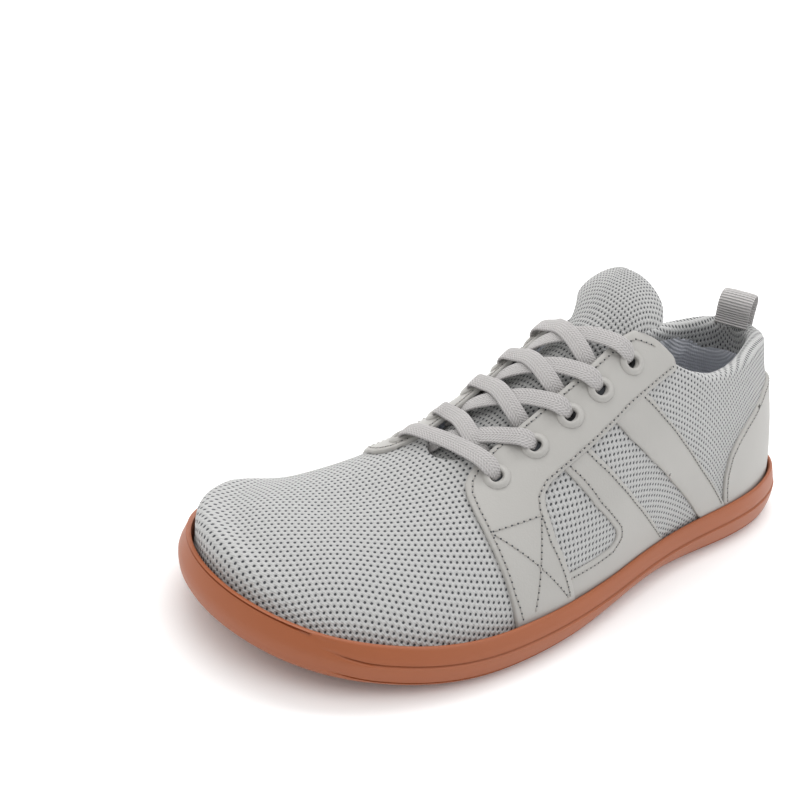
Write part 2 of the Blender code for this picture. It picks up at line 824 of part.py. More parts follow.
def band(path, normals, width, thick):
    """Points and faces of a flat band along a path, its width square to the path and the normals."""
    points = []
    for i, (spot, normal) in enumerate(zip(path, normals)):
        ahead = path[min(i + 1, len(path) - 1)] - path[max(i - 1, 0)]
        side = np.cross(ahead, normal)
        side = side / np.linalg.norm(side)
        normal = np.cross(side, ahead)
        normal = normal / np.linalg.norm(normal)
        for a, b in ((-1, -0.5), (1, -0.5), (1, 0.5), (-1, 0.5)):
            points.append(spot + side * a * width / 2 + normal * b * thick)
    faces = [(3, 2, 1, 0), tuple(len(points) - 4 + i for i in range(4))]
    for i in range(len(path) - 1):
        faces += ring_faces(4 * i, 4 * i + 4, 4)
    return points, faces


def crest_distance(turn, rise):
    return math.dist(last_point(turn, rise)[:2], last_point(turn, 1.0)[:2])


def lace_run(start, end):
    """Middle line and normals of a lace between two places: turn, distance from the crest, lift."""
    path = []
    normals = []
    for k in range(LACE_STEPS + 1):
        t = k / LACE_STEPS
        share = (1 - t) * float(share_of(start[0])) + t * float(share_of(end[0]))
        across = math.copysign(start[1], start[0]) * (1 - t) + math.copysign(end[1], end[0]) * t
        lift = start[2] + (end[2] - start[2]) * smooth_step(0.10, 0.62, t)
        turn = turn_of(share, 1 if across >= 0 else -1)
        rise = rise_at_half(turn, abs(across))
        path.append(wall_point(turn, rise, lift))
        normals.append(wall_point(turn, rise, lift + 0.001) - path[-1])
    return path, normals


def make_laces(material):
    """One straight bar at the front and four crossings, each crossing one joined solid."""
    on_top = OVERLAY_GAP + 2 * SEAT_GAP + OVERLAY_THICK + EYELET_HEIGHT + LACE_THICK
    over_eyelet = []
    under_edge = []
    for side in (1, -1):
        places = eyelet_places(side)
        over_eyelet.append([(turn, crest_distance(turn, rise), on_top) for turn, rise in places])
        halves = [throat_half(float(share_of(turn))) for turn, _ in places]
        under_edge.append([(row[0], half - LACE_TUCK, LACE_START) for row, half in zip(places, halves)])
    ends = [(row[0][0], row[0][1], row[0][2] + LACE_THICK + SEAT_GAP) for row in over_eyelet]
    path, normals = lace_run(*ends)
    points, faces = band(path, normals, LACE_WIDTH, LACE_THICK)
    make_object("lace_bar", points, faces, material, smooth=False)
    for k in range(len(EYELETS) - 1):
        halves = []
        for near in (0, 1):
            path, normals = lace_run(under_edge[near][k], over_eyelet[1 - near][k + 1])
            points, faces = band(path, normals, LACE_WIDTH, LACE_THICK)
            halves.append(make_object(f"lace_crossing_{k + 1}", points, faces, material, smooth=False))
        halves[1].name = f"lace_cutter_{k + 1}"
        halves[1].hide_render = True
        halves[1].display_type = "WIRE"
        join = halves[0].modifiers.new("join", "BOOLEAN")
        join.operation = "UNION"
        join.object = halves[1]


def make_loop(material):
    """Webbing pull loop: sewn to the outside of the heel, over the collar and down behind its inner edge."""
    edge = edge_rise(LOOP_TURN)
    top = wall_point(LOOP_TURN, edge)
    outward, _ = wall_normal(LOOP_TURN, edge)
    outward = outward * np.array([1, 1, 0])
    outward = outward / np.linalg.norm(outward)
    outside = SEAT_GAP + LOOP_THICK / 2
    start = top + outward * outside
    middle = start - outward * LOOP_RADIUS + np.array([0, 0, LOOP_HEIGHT - LOOP_RADIUS])
    path = [wall_point(LOOP_TURN, edge - 0.10, outside), wall_point(LOOP_TURN, edge - 0.05, outside)]
    path.append(start + outward * 0.001 + np.array([0, 0, 0.003]))
    for k in range(5):
        angle = math.pi * k / 4
        path.append(middle + (outward * math.cos(angle) + np.array([0, 0, math.sin(angle)])) * LOOP_RADIUS)
    foot = start - outward * (2 * LOOP_RADIUS - 0.001)
    path.append(foot + np.array([0, 0, COLLAR_ROLL + 3 * SEAT_GAP]))
    side = np.cross(outward, [0, 0, 1])
    ends = zip(path[:1] + path[:-1], path[1:] + path[-1:])
    normals = [np.cross(ahead - behind, side) for behind, ahead in ends]
    points, faces = band(path, normals, LOOP_WIDTH, LOOP_THICK)
    return make_object("heel_pull_loop", points, faces, material)


def main():
    for thing in list(bpy.data.objects):
        bpy.data.objects.remove(thing)
    rubber = make_material("gum rubber", (0.46, 0.16, 0.065), 0.5)
    mesh_fabric = make_material("grey air mesh", (0.58, 0.60, 0.61), 0.85)
    leather = make_material("grey coated leather", (0.45, 0.44, 0.42), 0.5)
    webbing = make_material("grey webbing", (0.48, 0.46, 0.46), 0.8)
    lining = make_material("blue grey lining", (0.48, 0.51, 0.56), 0.85)
    make_outsole(rubber)
    make_upper(mesh_fabric)
    make_insole(lining)
    make_tongue(mesh_fabric)
    make_quarters(leather)
    make_counter(leather)
    make_eyelets(leather)
    make_laces(webbing)
    make_loop(webbing)


main()
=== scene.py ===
# Looks of a left barefoot shoe, laid out as a Blender add-on and run as a script
# Metres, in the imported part's own frame: +X toward the toe, +Y toward the outer side, +Z up
import functools
import math

import bmesh
import bpy
import numpy as np
from mathutils import Matrix, Vector, geometry, noise


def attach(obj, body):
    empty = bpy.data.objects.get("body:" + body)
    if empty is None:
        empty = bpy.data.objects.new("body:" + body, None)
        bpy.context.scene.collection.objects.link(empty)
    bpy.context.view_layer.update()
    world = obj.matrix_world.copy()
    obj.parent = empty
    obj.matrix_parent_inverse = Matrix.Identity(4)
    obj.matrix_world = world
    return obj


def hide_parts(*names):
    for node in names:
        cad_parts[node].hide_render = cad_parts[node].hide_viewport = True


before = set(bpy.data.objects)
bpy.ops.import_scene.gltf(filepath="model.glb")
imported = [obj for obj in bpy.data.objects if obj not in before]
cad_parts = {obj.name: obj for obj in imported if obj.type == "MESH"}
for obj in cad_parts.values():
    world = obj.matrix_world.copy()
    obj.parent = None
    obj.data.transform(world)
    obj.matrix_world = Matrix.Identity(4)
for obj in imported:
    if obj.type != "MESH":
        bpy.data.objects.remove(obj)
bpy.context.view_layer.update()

bl_info = {
    "name": "Barefoot shoe",
    "version": (1, 0, 0),
    "blender": (4, 5, 0),
    "location": "3D View > Sidebar > Shoe",
    "description": "Gum sole, air mesh upper, leather overlays and flat lacing of a left barefoot shoe",
    "category": "Object",
}

# Sizes of the solids, in metres, the same as in the part's source
SOLE_LENGTH = 0.292
BALL_WIDTH = 0.120
HEEL_WALL = 0.0214
FORE_WALL = 0.0155
SOLE_FLOOR = 0.0050
TOE_SPRING = 0.0123
SPRING_FROM = 0.70
SPRING_POWER = 1.8
ARCH_LIFT = 0.0022
ARCH_PLACE = 0.43
ARCH_SPREAD = 0.10
ARCH_REACH = 0.072
WAIST_TUCK = 0.0050
WAIST_PLACE = 0.42
WAIST_SPREAD = 0.13
CONTACT_INSET = 0.0055
LIP_INSET = 0.0044
MARGIN_WIDTH = 0.0085
TREAD_DEPTH = 0.0020
LUG_FROM = 0.205
LUG_TO = 0.80
LUG_SIDE = 0.0090
LUG_ROW = 0.0106
LUG_PITCH = 0.0067
PAD_LENGTH = 0.031
PAD_WIDTH = 0.027
PAD_PLACE = 0.46
LAST_TOP = 0.115
HEEL_HEIGHT = 0.080
UPPER_INSET = 0.0050
UPPER_WALL = 0.0020
COLLAR_WALL = 0.0065
PADDING_ENDS = 0.38
SPINE_SHIFT = 0.0050
THROAT_HALF = 0.0205
THROAT_BACK = 0.43
THROAT_FRONT = 0.70
THROAT_ROUND = 0.05
INNER_FORWARD = 0.032
SEAT_GAP = 0.0003
LIP_GAP = 0.0005
INSOLE_THICK = 0.0035
EYELET_RADIUS = 0.0050
EYELET_HOLE = 0.0023
TONGUE_HALF = 0.0250
TONGUE_THICK = 0.0060
TONGUE_GAP = 0.0014
TONGUE_RISE = 0.0090
TONGUE_LEAN = 0.0080
LOOP_WIDTH = 0.0150
LOOP_THICK = 0.0016
LOOP_HEIGHT = 0.0160
LOOP_RADIUS = 0.0055
LOOP_TURN = -0.15
HEEL_SIDE = -0.020
TOE_SIDE = -0.055

# Sizes of the looks alone, in metres
COLLAR_PUFF = 0.0013
TOE_BULGE = 0.0058
UNEVEN_HEIGHT = 0.00030
RIB_START = 0.0090
RIB_SWING = 0.0021
RIB_WAVE = 0.0120
FINE_GRID = 0.0026
COARSE_GRID = 0.0060

# Waves of the mesh's unevenness to a metre, and ribs at each end of the tread
UNEVEN_SCALE = 45
RIB_COUNT = 9

# Shares of the shoe's length, of a full lug, of the wall or of the leather's thickness
SMALL_LUG = 0.80
SMALL_FROM = 0.30
SMALL_TO = 0.58
GROOVE_SWEEP = (0.87, 0.97)
GROOVE_LIFT = 0.96
GROOVE_FADE = (0.895, 0.925)
EYESTAY_SHARE = 1.3
STRIPE_SHARE = 0.8

OUTLINE = (
    # share of length, lateral fullness, medial fullness
    (0.00, 0.660, 0.680),
    (0.05, 0.557, 0.582),
    (0.12, 0.492, 0.499),
    (0.20, 0.451, 0.420),
    (0.30, 0.420, 0.356),
    (0.40, 0.430, 0.304),
    (0.50, 0.479, 0.306),
    (0.60, 0.541, 0.377),
    (0.70, 0.604, 0.463),
    (0.80, 0.668, 0.556),
    (0.88, 0.717, 0.643),
    (0.95, 0.771, 0.731),
    (1.00, 0.800, 0.790),
)
LAST = (
    # share of length, share at the crest, crest height as a share of LAST_TOP, section fullness
    (0.00, 0.152, 1.000, 1.50),
    (0.10, 0.198, 1.000, 1.54),
    (0.20, 0.257, 1.000, 1.74),
    (0.30, 0.330, 0.990, 2.05),
    (0.40, 0.410, 0.940, 2.10),
    (0.48, 0.485, 0.830, 2.05),
    (0.56, 0.560, 0.680, 1.95),
    (0.64, 0.635, 0.530, 1.88),
    (0.72, 0.705, 0.425, 1.90),
    (0.80, 0.765, 0.360, 2.05),
    (0.90, 0.815, 0.330, 2.30),
    (1.00, 0.840, 0.322, 2.55),
)
COLLAR = (
    # share of length, height of the edge as a share of HEEL_HEIGHT
    (0.00, 1.000),
    (0.06, 0.990),
    (0.14, 0.955),
    (0.22, 0.935),
    (0.30, 0.960),
    (0.36, 1.050),
    (0.40, 1.140),
    (0.45, 1.200),
)
# The last six rows follow the photograph more closely than the solid does
TONGUE = (
    # share of length, half width as a share of TONGUE_HALF, flatness, lift as a share of TONGUE_RISE
    (0.735, 0.80, 0.00, 0.00),
    (0.690, 0.82, 0.00, 0.00),
    (0.640, 0.84, 0.00, 0.00),
    (0.590, 0.88, 0.00, 0.00),
    (0.540, 0.90, 0.00, 0.00),
    (0.490, 0.88, 0.00, 0.00),
    (0.458, 0.84, 0.10, 0.12),
    (0.430, 0.92, 0.30, 0.46),
    (0.402, 1.04, 0.40, 0.72),
    (0.376, 1.12, 0.40, 0.86),
    (0.358, 1.08, 0.38, 0.93),
    (0.345, 0.90, 0.38, 0.94),
)
EYELETS = (
    # share of length, share of the wall above the lip
    (0.656, 0.663),
    (0.600, 0.691),
    (0.549, 0.713),
    (0.503, 0.727),
    (0.451, 0.739),
)
# Side wall of the outsole with its grooves and step, from the ground to the lip
SIDE_WALL = (
    # inset from the widest line in millimetres, height as a share of the wall, groove depth in millimetres
    (4.80, 0.006, 0.0),
    (4.00, 0.020, 0.0),
    (3.20, 0.045, 0.0),
    (2.30, 0.080, 0.0),
    (1.40, 0.125, 0.0),
    (0.80, 0.170, 0.0),
    (0.50, 0.200, 0.0),
    (0.44, 0.212, 0.45),
    (0.40, 0.224, 0.45),
    (0.36, 0.236, 0.0),
    (0.20, 0.300, 0.0),
    (0.00, 0.400, 0.0),
    (0.00, 0.500, 0.0),
    (0.05, 0.560, 0.0),
    (0.10, 0.592, 0.0),
    (0.30, 0.606, 0.75),
    (0.45, 0.622, 0.75),
    (0.60, 0.640, 0.10),
    (0.95, 0.700, 0.0),
    (1.55, 0.800, 0.0),
    (2.15, 0.890, 0.0),
    (2.60, 0.955, 0.0),
    (2.95, 0.990, 0.0),
    (3.45, 1.004, 0.0),
    (3.95, 0.996, 0.0),
    (4.30, 0.965, 0.0),
)

# Outlines of the leather, in share of length and share of the wall above the lip, minus inside the cup
EYESTAY = (
    (0.690, -0.050),
    (0.695, 0.135),
    (0.700, 0.300),
    (0.702, 0.420),
    (0.703, 0.540),
    (0.701, 0.640),
    (0.695, 0.710),
    (0.683, 0.752),
    (0.664, 0.785),
    (0.636, 0.806),
    (0.560, 0.820),
    (0.500, 0.829),
    (0.452, 0.840),
    (0.428, 0.830),
    (0.400, 0.753),
    (0.376, 0.668),
    (0.374, 0.622),
    (0.420, 0.612),
    (0.470, 0.601),
    (0.536, 0.560),
    (0.580, 0.535),
    (0.600, 0.519),
    (0.613, 0.488),
    (0.617, 0.430),
    (0.615, 0.285),
    (0.602, 0.137),
    (0.586, -0.050),
)
STRIPE_AND_BASE = (
    (0.640, -0.050),
    (0.640, 0.113),
    (0.595, 0.113),
    (0.550, 0.115),
    (0.517, 0.123),
    (0.505, 0.143),
    (0.505, 0.177),
    (0.521, 0.239),
    (0.545, 0.331),
    (0.568, 0.462),
    (0.580, 0.540),
    (0.588, 0.580),
    (0.546, 0.600),
    (0.542, 0.575),
    (0.527, 0.491),
    (0.497, 0.366),
    (0.461, 0.238),
    (0.415, 0.101),
    (0.378, -0.015),
    (0.366, -0.050),
    (0.500, -0.050),
)
REAR_STRIPE = (
    (0.498, 0.600),
    (0.474, 0.490),
    (0.435, 0.364),
    (0.381, 0.223),
    (0.328, 0.094),
    (0.291, -0.008),
    (0.279, -0.050),
    (0.214, -0.050),
    (0.228, 0.000),
    (0.266, 0.108),
    (0.310, 0.223),
    (0.359, 0.359),
    (0.406, 0.495),
    (0.437, 0.610),
    (0.455, 0.635),
    (0.490, 0.622),
)
COUNTER = (
    (0.224, -0.050),
    (0.234, 0.050),
    (0.238, 0.120),
    (0.230, 0.200),
    (0.210, 0.250),
    (0.180, 0.295),
    (0.135, 0.337),
    (0.085, 0.388),
    (0.030, 0.410),
)

# Rows of stitches, in the same shares, each with the layer that it holds
EYESTAY_ROWS = (
    ((0.682, 0.000), (0.689, 0.120), (0.693, 0.292), (0.695, 0.420), (0.695, 0.560), (0.692, 0.650),
     (0.683, 0.710), (0.662, 0.757), (0.636, 0.782), (0.560, 0.797), (0.500, 0.806), (0.455, 0.812),
     (0.433, 0.798), (0.407, 0.735)),
    ((0.383, 0.640), (0.470, 0.619), (0.536, 0.579), (0.577, 0.553), (0.605, 0.535), (0.621, 0.492),
     (0.626, 0.430), (0.624, 0.285), (0.611, 0.137), (0.600, 0.010)),
    ((0.692, 0.430), (0.626, 0.410)),
    ((0.692, 0.410), (0.603, 0.010)),
    ((0.628, 0.395), (0.662, 0.010)),
)
STRIPE_ROWS = (
    ((0.571, 0.535), (0.559, 0.465), (0.537, 0.335), (0.513, 0.243), (0.496, 0.180), (0.495, 0.135),
     (0.512, 0.100), (0.550, 0.091), (0.600, 0.090)),
    ((0.549, 0.575), (0.534, 0.491), (0.504, 0.366), (0.468, 0.238), (0.422, 0.101), (0.386, 0.000)),
)
REAR_ROWS = (
    ((0.443, 0.600), (0.412, 0.495), (0.365, 0.359), (0.316, 0.223), (0.272, 0.108), (0.236, 0.005)),
)
COUNTER_ROWS = (
    ((0.221, 0.005), (0.228, 0.060), (0.231, 0.120), (0.223, 0.190), (0.204, 0.237), (0.175, 0.280),
     (0.131, 0.322), (0.080, 0.372), (0.030, 0.396), (0.004, 0.400)),
)

# One stitch: share of its length, height and radius as shares of the thread's width and half width
STITCH = (
    (0.14, -0.05, 0.45),
    (0.32, 0.30, 1.0),
    (0.68, 0.30, 1.0),
    (0.86, -0.05, 0.45),
)
# Radius of a needle hole as a share of the thread's width
NEEDLE_HOLE = 0.60

# Folds of the lining, from side to side: turn, depth in millimetres, half width as a turn
FOLDS = (
    (-0.62, 1.5, 0.035),
    (-0.80, 2.2, 0.030),
    (-0.94, 1.6, 0.045),
    (-1.16, 1.0, 0.060),
    (0.55, 1.4, 0.045),
    (0.86, 1.2, 0.060),
)

UP = np.array([0.0, 0.0, 1.0])
PHOTO_LENS = 42.17
PHOTO_PLACE = (0.2519, 0.2329, 0.2084)
PHOTO_RIGHT = (-0.8199, 0.5622, 0.1085)
PHOTO_UP = (-0.1494, -0.3930, 0.9073)
PHOTO_AHEAD = (-0.5527, -0.7277, -0.4062)


def linear(hexadecimal):
    """Linear RGB of an sRGB hex colour."""
    values = [int(hexadecimal[i:i + 2], 16) / 255 for i in (1, 3, 5)]
    return tuple(v / 12.92 if v <= 0.04045 else ((v + 0.055) / 1.055) ** 2.4 for v in values)


class ShoeSizes(bpy.types.PropertyGroup):
    """Sizes a user would change on the dressed shoe."""
    mesh_pitch: bpy.props.FloatProperty(
        name="Mesh pitch", description="Distance between holes along a row of the air mesh",
        default=0.0023, min=0.001, max=0.01, unit="LENGTH")
    leather_thick: bpy.props.FloatProperty(
        name="Leather thickness", description="Thickness of the overlays",
        default=0.0012, min=0.0005, max=0.003, unit="LENGTH")
    stitch_pitch: bpy.props.FloatProperty(
        name="Stitch pitch", description="Distance from needle hole to needle hole",
        default=0.0023, min=0.001, max=0.006, unit="LENGTH")
    thread_width: bpy.props.FloatProperty(
        name="Thread width", description="Diameter of the sewing thread",
        default=0.0006, min=0.0002, max=0.0015, unit="LENGTH")
    lace_width: bpy.props.FloatProperty(
        name="Lace width", description="Width of the flat lace",
        default=0.0070, min=0.003, max=0.012, unit="LENGTH")
    lace_thick: bpy.props.FloatProperty(
        name="Lace thickness", description="Thickness of the flat lace",
        default=0.0014, min=0.0005, max=0.003, unit="LENGTH")
    rib_pitch: bpy.props.FloatProperty(
        name="Tread rib pitch", description="Distance between the wavy ribs of heel and toe",
        default=0.0053, min=0.003, max=0.012, unit="LENGTH")


class ShoeColours(bpy.types.PropertyGroup):
    """Colours of the dressed shoe."""
    rubber: bpy.props.FloatVectorProperty(
        name="Gum rubber", description="Sole", subtype="COLOR", default=linear("#9A532C"))
    # Painted shade: the tread floor's darker rubber stands for the shadow in the recesses between the lugs
    tread_floor_painted_shade: bpy.props.FloatVectorProperty(
        name="Tread floor", description="Recessed floor of the tread", subtype="COLOR",
        default=linear("#8C3A24"))
    mesh: bpy.props.FloatVectorProperty(
        name="Air mesh", description="Yarn of the upper", subtype="COLOR", default=linear("#B9B9B8"))
    # Painted shade: this dark colour stands for the shadow inside the mesh holes, the needle holes and the
    # eyelets' holes
    hole_painted_shade: bpy.props.FloatVectorProperty(
        name="Mesh holes", description="Dark ground seen through the holes", subtype="COLOR",
        default=linear("#3A3C40"))
    leather: bpy.props.FloatVectorProperty(
        name="Leather", description="Coated leather overlays", subtype="COLOR", default=linear("#ABA9A5"))
    lace: bpy.props.FloatVectorProperty(
        name="Lace", description="Lace and webbing yarn", subtype="COLOR", default=linear("#BBB8B7"))
    # Partly painted light: the lining's pale blue grey is lightened to stand for light falling into the
    # shaded collar
    lining: bpy.props.FloatVectorProperty(
        name="Lining", description="Collar lining", subtype="COLOR", default=linear("#E8EAF0"))
    insole: bpy.props.FloatVectorProperty(
        name="Insole", description="Insole cover", subtype="COLOR", default=linear("#9EA1A6"))
    thread: bpy.props.FloatVectorProperty(
        name="Thread", description="Sewing thread", subtype="COLOR", default=linear("#ABA8A3"))
    floor: bpy.props.FloatVectorProperty(
        name="Floor", description="Studio floor", subtype="COLOR", default=linear("#FFFFFF"))


def smooth_step(low, high, value):
    share = np.clip((np.asarray(value, float) - low) / (high - low), 0, 1)
    return share * share * (3 - 2 * share)


@functools.lru_cache(maxsize=None)
def curve_bends(rows, column):
    """Places, values and second slopes of a natural cubic curve through one column of a table."""
    places = np.array([row[0] for row in rows])
    values = np.array([row[column] for row in rows])
    steps = np.diff(places)
    count = len(places)
    matrix = np.eye(count)
    slopes = np.zeros(count)
    for i in range(1, count - 1):
        matrix[i, i - 1:i + 2] = steps[i - 1], 2 * (steps[i - 1] + steps[i]), steps[i]
        slopes[i] = 6 * ((values[i + 1] - values[i]) / steps[i] - (values[i] - values[i - 1]) / steps[i - 1])
    return places, values, np.linalg.solve(matrix, slopes)


def natural_curve(rows, column, share):
    """The curve through one column of a table, read at a share of the length."""
    places, values, bends = curve_bends(rows, column)
    at = np.clip(share, places[0], places[-1])
    i = np.clip(np.searchsorted(places, at) - 1, 0, len(places) - 2)
    before = at - places[i]
    after = places[i + 1] - at
    step = places[i + 1] - places[i]
    cubic = (bends[i] * after**3 + bends[i + 1] * before**3) / (6 * step)
    return (cubic + (values[i] / step - bends[i] * step / 6) * after
            + (values[i + 1] / step - bends[i + 1] * step / 6) * before)


def share_of(turn):
    """Share of the length at a turn: 0 at the heel, pi at the toe, minus on the inner side."""
    return (1 - np.cos(turn)) / 2


def turn_of(share, side=1):
    return side * math.acos(1 - 2 * share)


def outline(turn):
    """Widest line of the sole, seen from above."""
    share = share_of(turn)
    swing = np.sin(turn)
    fullness = np.where(swing >= 0, natural_curve(OUTLINE, 1, share), natural_curve(OUTLINE, 2, share))
    across = HEEL_SIDE + (TOE_SIDE - HEEL_SIDE) * share + fullness * swing
    return np.stack([share * SOLE_LENGTH, across * BALL_WIDTH], -1)


def inset_outline(turn, inset):
    """The outline moved inward, square to itself."""
    nudge = 1e-4
    along = outline(turn + nudge) - outline(turn - nudge)
    along = along / np.linalg.norm(along, axis=-1, keepdims=True)
    inward = np.stack([along[..., 1], -along[..., 0]], -1)
    return outline(turn) + inward * np.asarray(inset)[..., None]


def underside(x, y):
    """Height of the sole's underside: flat heel and ball, toe spring, low inner arch."""
    share = x / SOLE_LENGTH
    spring = TOE_SPRING * np.clip((share - SPRING_FROM) / (1 - SPRING_FROM), 0, None) ** SPRING_POWER
    inner = np.clip(0.5 - y / ARCH_REACH, 0, 1)
    return spring + ARCH_LIFT * np.exp(-((share - ARCH_PLACE) / ARCH_SPREAD) ** 2) * inner


def wall_height(share):
    return FORE_WALL + (HEEL_WALL - FORE_WALL) * np.clip(1 - 2 * share, 0, 1)


def waist(share):
    return np.exp(-((share - WAIST_PLACE) / WAIST_SPREAD) ** 2)


def crest_side(x):
    """Middle line of the upper, a little toward the inner side."""
    turn = np.arccos(1 - 2 * x / SOLE_LENGTH)
    return (outline(turn)[..., 1] + outline(-turn)[..., 1]) / 2 - SPINE_SHIFT


@functools.lru_cache(maxsize=200000)
def section(turn):
    """One section of the last: base, crest, run in metres, and its rounded profile from sole to crest."""
    share = share_of(turn)
    base = inset_outline(turn, UPPER_INSET)
    low = underside(base[0], base[1]) + SOLE_FLOOR + SEAT_GAP
    crest_x = natural_curve(LAST, 1, share) * SOLE_LENGTH
    crest = np.array([crest_x, crest_side(crest_x)])
    high = natural_curve(LAST, 2, share) * LAST_TOP
    power = 2 / natural_curve(LAST, 3, share)
    sweep = np.linspace(0, math.pi / 2, 241)
    up = np.sin(sweep) ** power
    across = 1 - np.cos(sweep) ** power
    width = math.dist(crest, base)
    steps = np.hypot(np.diff(up) * (high - low), np.diff(across) * width)
    run = np.concatenate([[0], np.cumsum(steps)])
    return base, crest, width, low + (high - low) * up, across, run / run[-1], run[-1]


def face(turn, rises):
    """Points of the upper's outer face at shares of the way from the sole to the crest."""
    base, crest, _, heights, across, run, _ = section(turn)
    rises = np.asarray(rises, float)
    flat = base + (crest - base) * np.interp(rises, run, across)[..., None]
    return np.concatenate([flat, np.interp(rises, run, heights)[..., None]], -1)


def outward(turn, rises):
    """Outward directions of the upper's outer face."""
    rises = np.asarray(rises, float)
    nudge = 2e-3
    low = np.clip(rises - nudge, 0, 1 - 2 * nudge)
    up = face(turn, low + 2 * nudge) - face(turn, low)
    beside = np.minimum(rises, 1 - 2 * nudge)
    along = face(turn + nudge, beside) - face(turn - nudge, beside)
    normal = np.cross(up, along)
    return normal / np.linalg.norm(normal, axis=-1, keepdims=True)


def wall(turn, rises, out=0.0):
    """Points a distance out from the upper's outer face, minus for inside it."""
    return face(turn, rises) + outward(turn, rises) * np.asarray(out, float)[..., None]


def cloth(turn, rises):
    """Where a point of the fabric lay before it was drawn over the last, in metres."""
    base, crest, width, _, _, _, run = section(turn)
    share = float(share_of(turn))
    length = (run * (1 - np.asarray(rises, float)))[..., None]
    round_end = crest + (base - crest) / width * length
    straight = np.concatenate([face(turn, rises)[..., :1], crest[1] + math.copysign(1, turn) * length], -1)
    ends = float(smooth_step(0.84, 0.97, share) + 1 - smooth_step(0.12, 0.32, share))
    return straight + (round_end - straight) * ends


def rise_at_height(turn, height):
    _, _, _, heights, _, run, _ = section(turn)
    return float(np.interp(height, heights, run))


def rise_at_half(turn, half):
    """Share of the wall where it comes within half of the crest, seen from above."""
    _, _, width, _, across, run, _ = section(turn)
    return float(np.interp(1 - half / width, across, run))


def rise_over_lip(turn, share):
    """Share of the whole wall for a share of the wall that stands above the sole's lip."""
    spot = inset_outline(turn, UPPER_INSET)
    lip = underside(spot[0], spot[1]) + wall_height(float(share_of(turn))) + LIP_GAP
    low = rise_at_height(turn, lip)
    return low + (1 - low) * share


def throat_half(share):
    closing = math.sqrt(min(max((THROAT_FRONT - share) / THROAT_ROUND, 0), 1))
    return THROAT_HALF * closing * (1 - 0.25 * (share - THROAT_BACK) / (THROAT_FRONT - THROAT_BACK))


def edge_rise(turn):
    """Share of the wall where the upper ends, at the collar and the throat; 1 on the closed vamp."""
    share = float(share_of(turn))
    if share >= THROAT_FRONT:
        return 1.0
    collar = rise_at_height(turn, natural_curve(COLLAR, 1, share) * HEEL_HEIGHT)
    throat = rise_at_half(turn, throat_half(share))
    return collar + (throat - collar) * float(smooth_step(0.395, 0.445, share))


SIDES = [outline(math.pi * k / 36)[1] for k in range(-35, 37)]
SHIFT = np.array([-SOLE_LENGTH / 2, -(max(SIDES) + min(SIDES)) / 2, 0.0])


def turns_round(count):
    """Turns of stations round the shoe, from the heel over the outer side to the toe and back."""
    return [math.pi * k / count for k in range(count + 1)] + [
        -math.pi * k / count for k in range(count - 1, 0, -1)]


def ring_faces(low, high, count):
    return [(low + k, low + (k + 1) % count, high + (k + 1) % count, high + k) for k in range(count)]


def tube_faces(rings, count, first=0):
    """Faces of closed rings laid one after another."""
    faces = []
    for k in range(rings - 1):
        faces += ring_faces(first + k * count, first + (k + 1) * count, count)
    return faces


def sheet_faces(rows, columns, first=0):
    """Faces of a sheet of points in rows."""
    return [(first + i * columns + j, first + i * columns + j + 1,
             first + (i + 1) * columns + j + 1, first + (i + 1) * columns + j)
            for i in range(rows - 1) for j in range(columns - 1)]


def ladder(first, count):
    """Faces across a ring of paired stations, heel to toe."""
    half = count // 2
    faces = [(first, first + 1, first + count - 1)]
    faces += [(first + k, first + k + 1, first + count - k - 1, first + count - k)
              for k in range(1, half - 1)]
    return faces + [(first + half - 1, first + half, first + half + 1)]


def inside(points, loop):
    """Which points lie in a closed loop, seen from above."""
    points = np.asarray(points, float)
    found = np.zeros(len(points), bool)
    for (x1, y1), (x2, y2) in zip(loop, list(loop[1:]) + [loop[0]]):
        if y1 == y2:
            continue
        spans = (y1 > points[:, 1]) != (y2 > points[:, 1])
        found ^= spans & (points[:, 0] < x1 + (points[:, 1] - y1) * (x2 - x1) / (y2 - y1))
    return found


def edge_distance(points, loop):
    points = np.asarray(points, float)
    best = np.full(len(points), 1.0)
    for start, end in zip(loop, list(loop[1:]) + [loop[0]]):
        start = np.asarray(start)
        along = np.asarray(end) - start
        size = max(float(along @ along), 1e-12)
        share = np.clip((points - start) @ along / size, 0, 1)
        best = np.minimum(best, np.linalg.norm(points - start - share[:, None] * along, axis=1))
    return best


def flat_triangles(loop, holes, step):
    """Points and triangles of a flat region with holes, with inner points a step apart."""
    rings = [[tuple(map(float, point)) for point in ring] for ring in [loop] + list(holes)]
    low = np.min(rings[0], axis=0)
    high = np.max(rings[0], axis=0)
    across, up = np.meshgrid(np.arange(low[0], high[0], step), np.arange(low[1], high[1], step))
    spots = np.stack([across.ravel(), up.ravel()], -1)
    spots[:, 0] += 0.25 * step * np.where(np.round(spots[:, 1] / step) % 2 > 0, 1, -1)
    keep = inside(spots, rings[0]) & (edge_distance(spots, rings[0]) > 0.5 * step)
    for hole in rings[1:]:
        keep &= ~inside(spots, hole) & (edge_distance(spots, hole) > 0.5 * step)
    points = [point for ring in rings for point in ring]
    edges = []
    for ring in rings:
        start = len(edges)
        edges += [(start + i, start + (i + 1) % len(ring)) for i in range(len(ring))]
    points += [tuple(spot) for spot in spots[keep]]
    result = geometry.delaunay_2d_cdt([Vector(point) for point in points], edges, [], 0, 1e-9)
    found = np.array([tuple(point) for point in result[0]])
    triangles = np.array(result[2])
    middles = found[triangles].mean(axis=1)
    keep = inside(middles, rings[0])
    for hole in rings[1:]:
        keep &= ~inside(middles, hole)
    return found, [tuple(int(i) for i in corners) for corners in triangles[keep]]


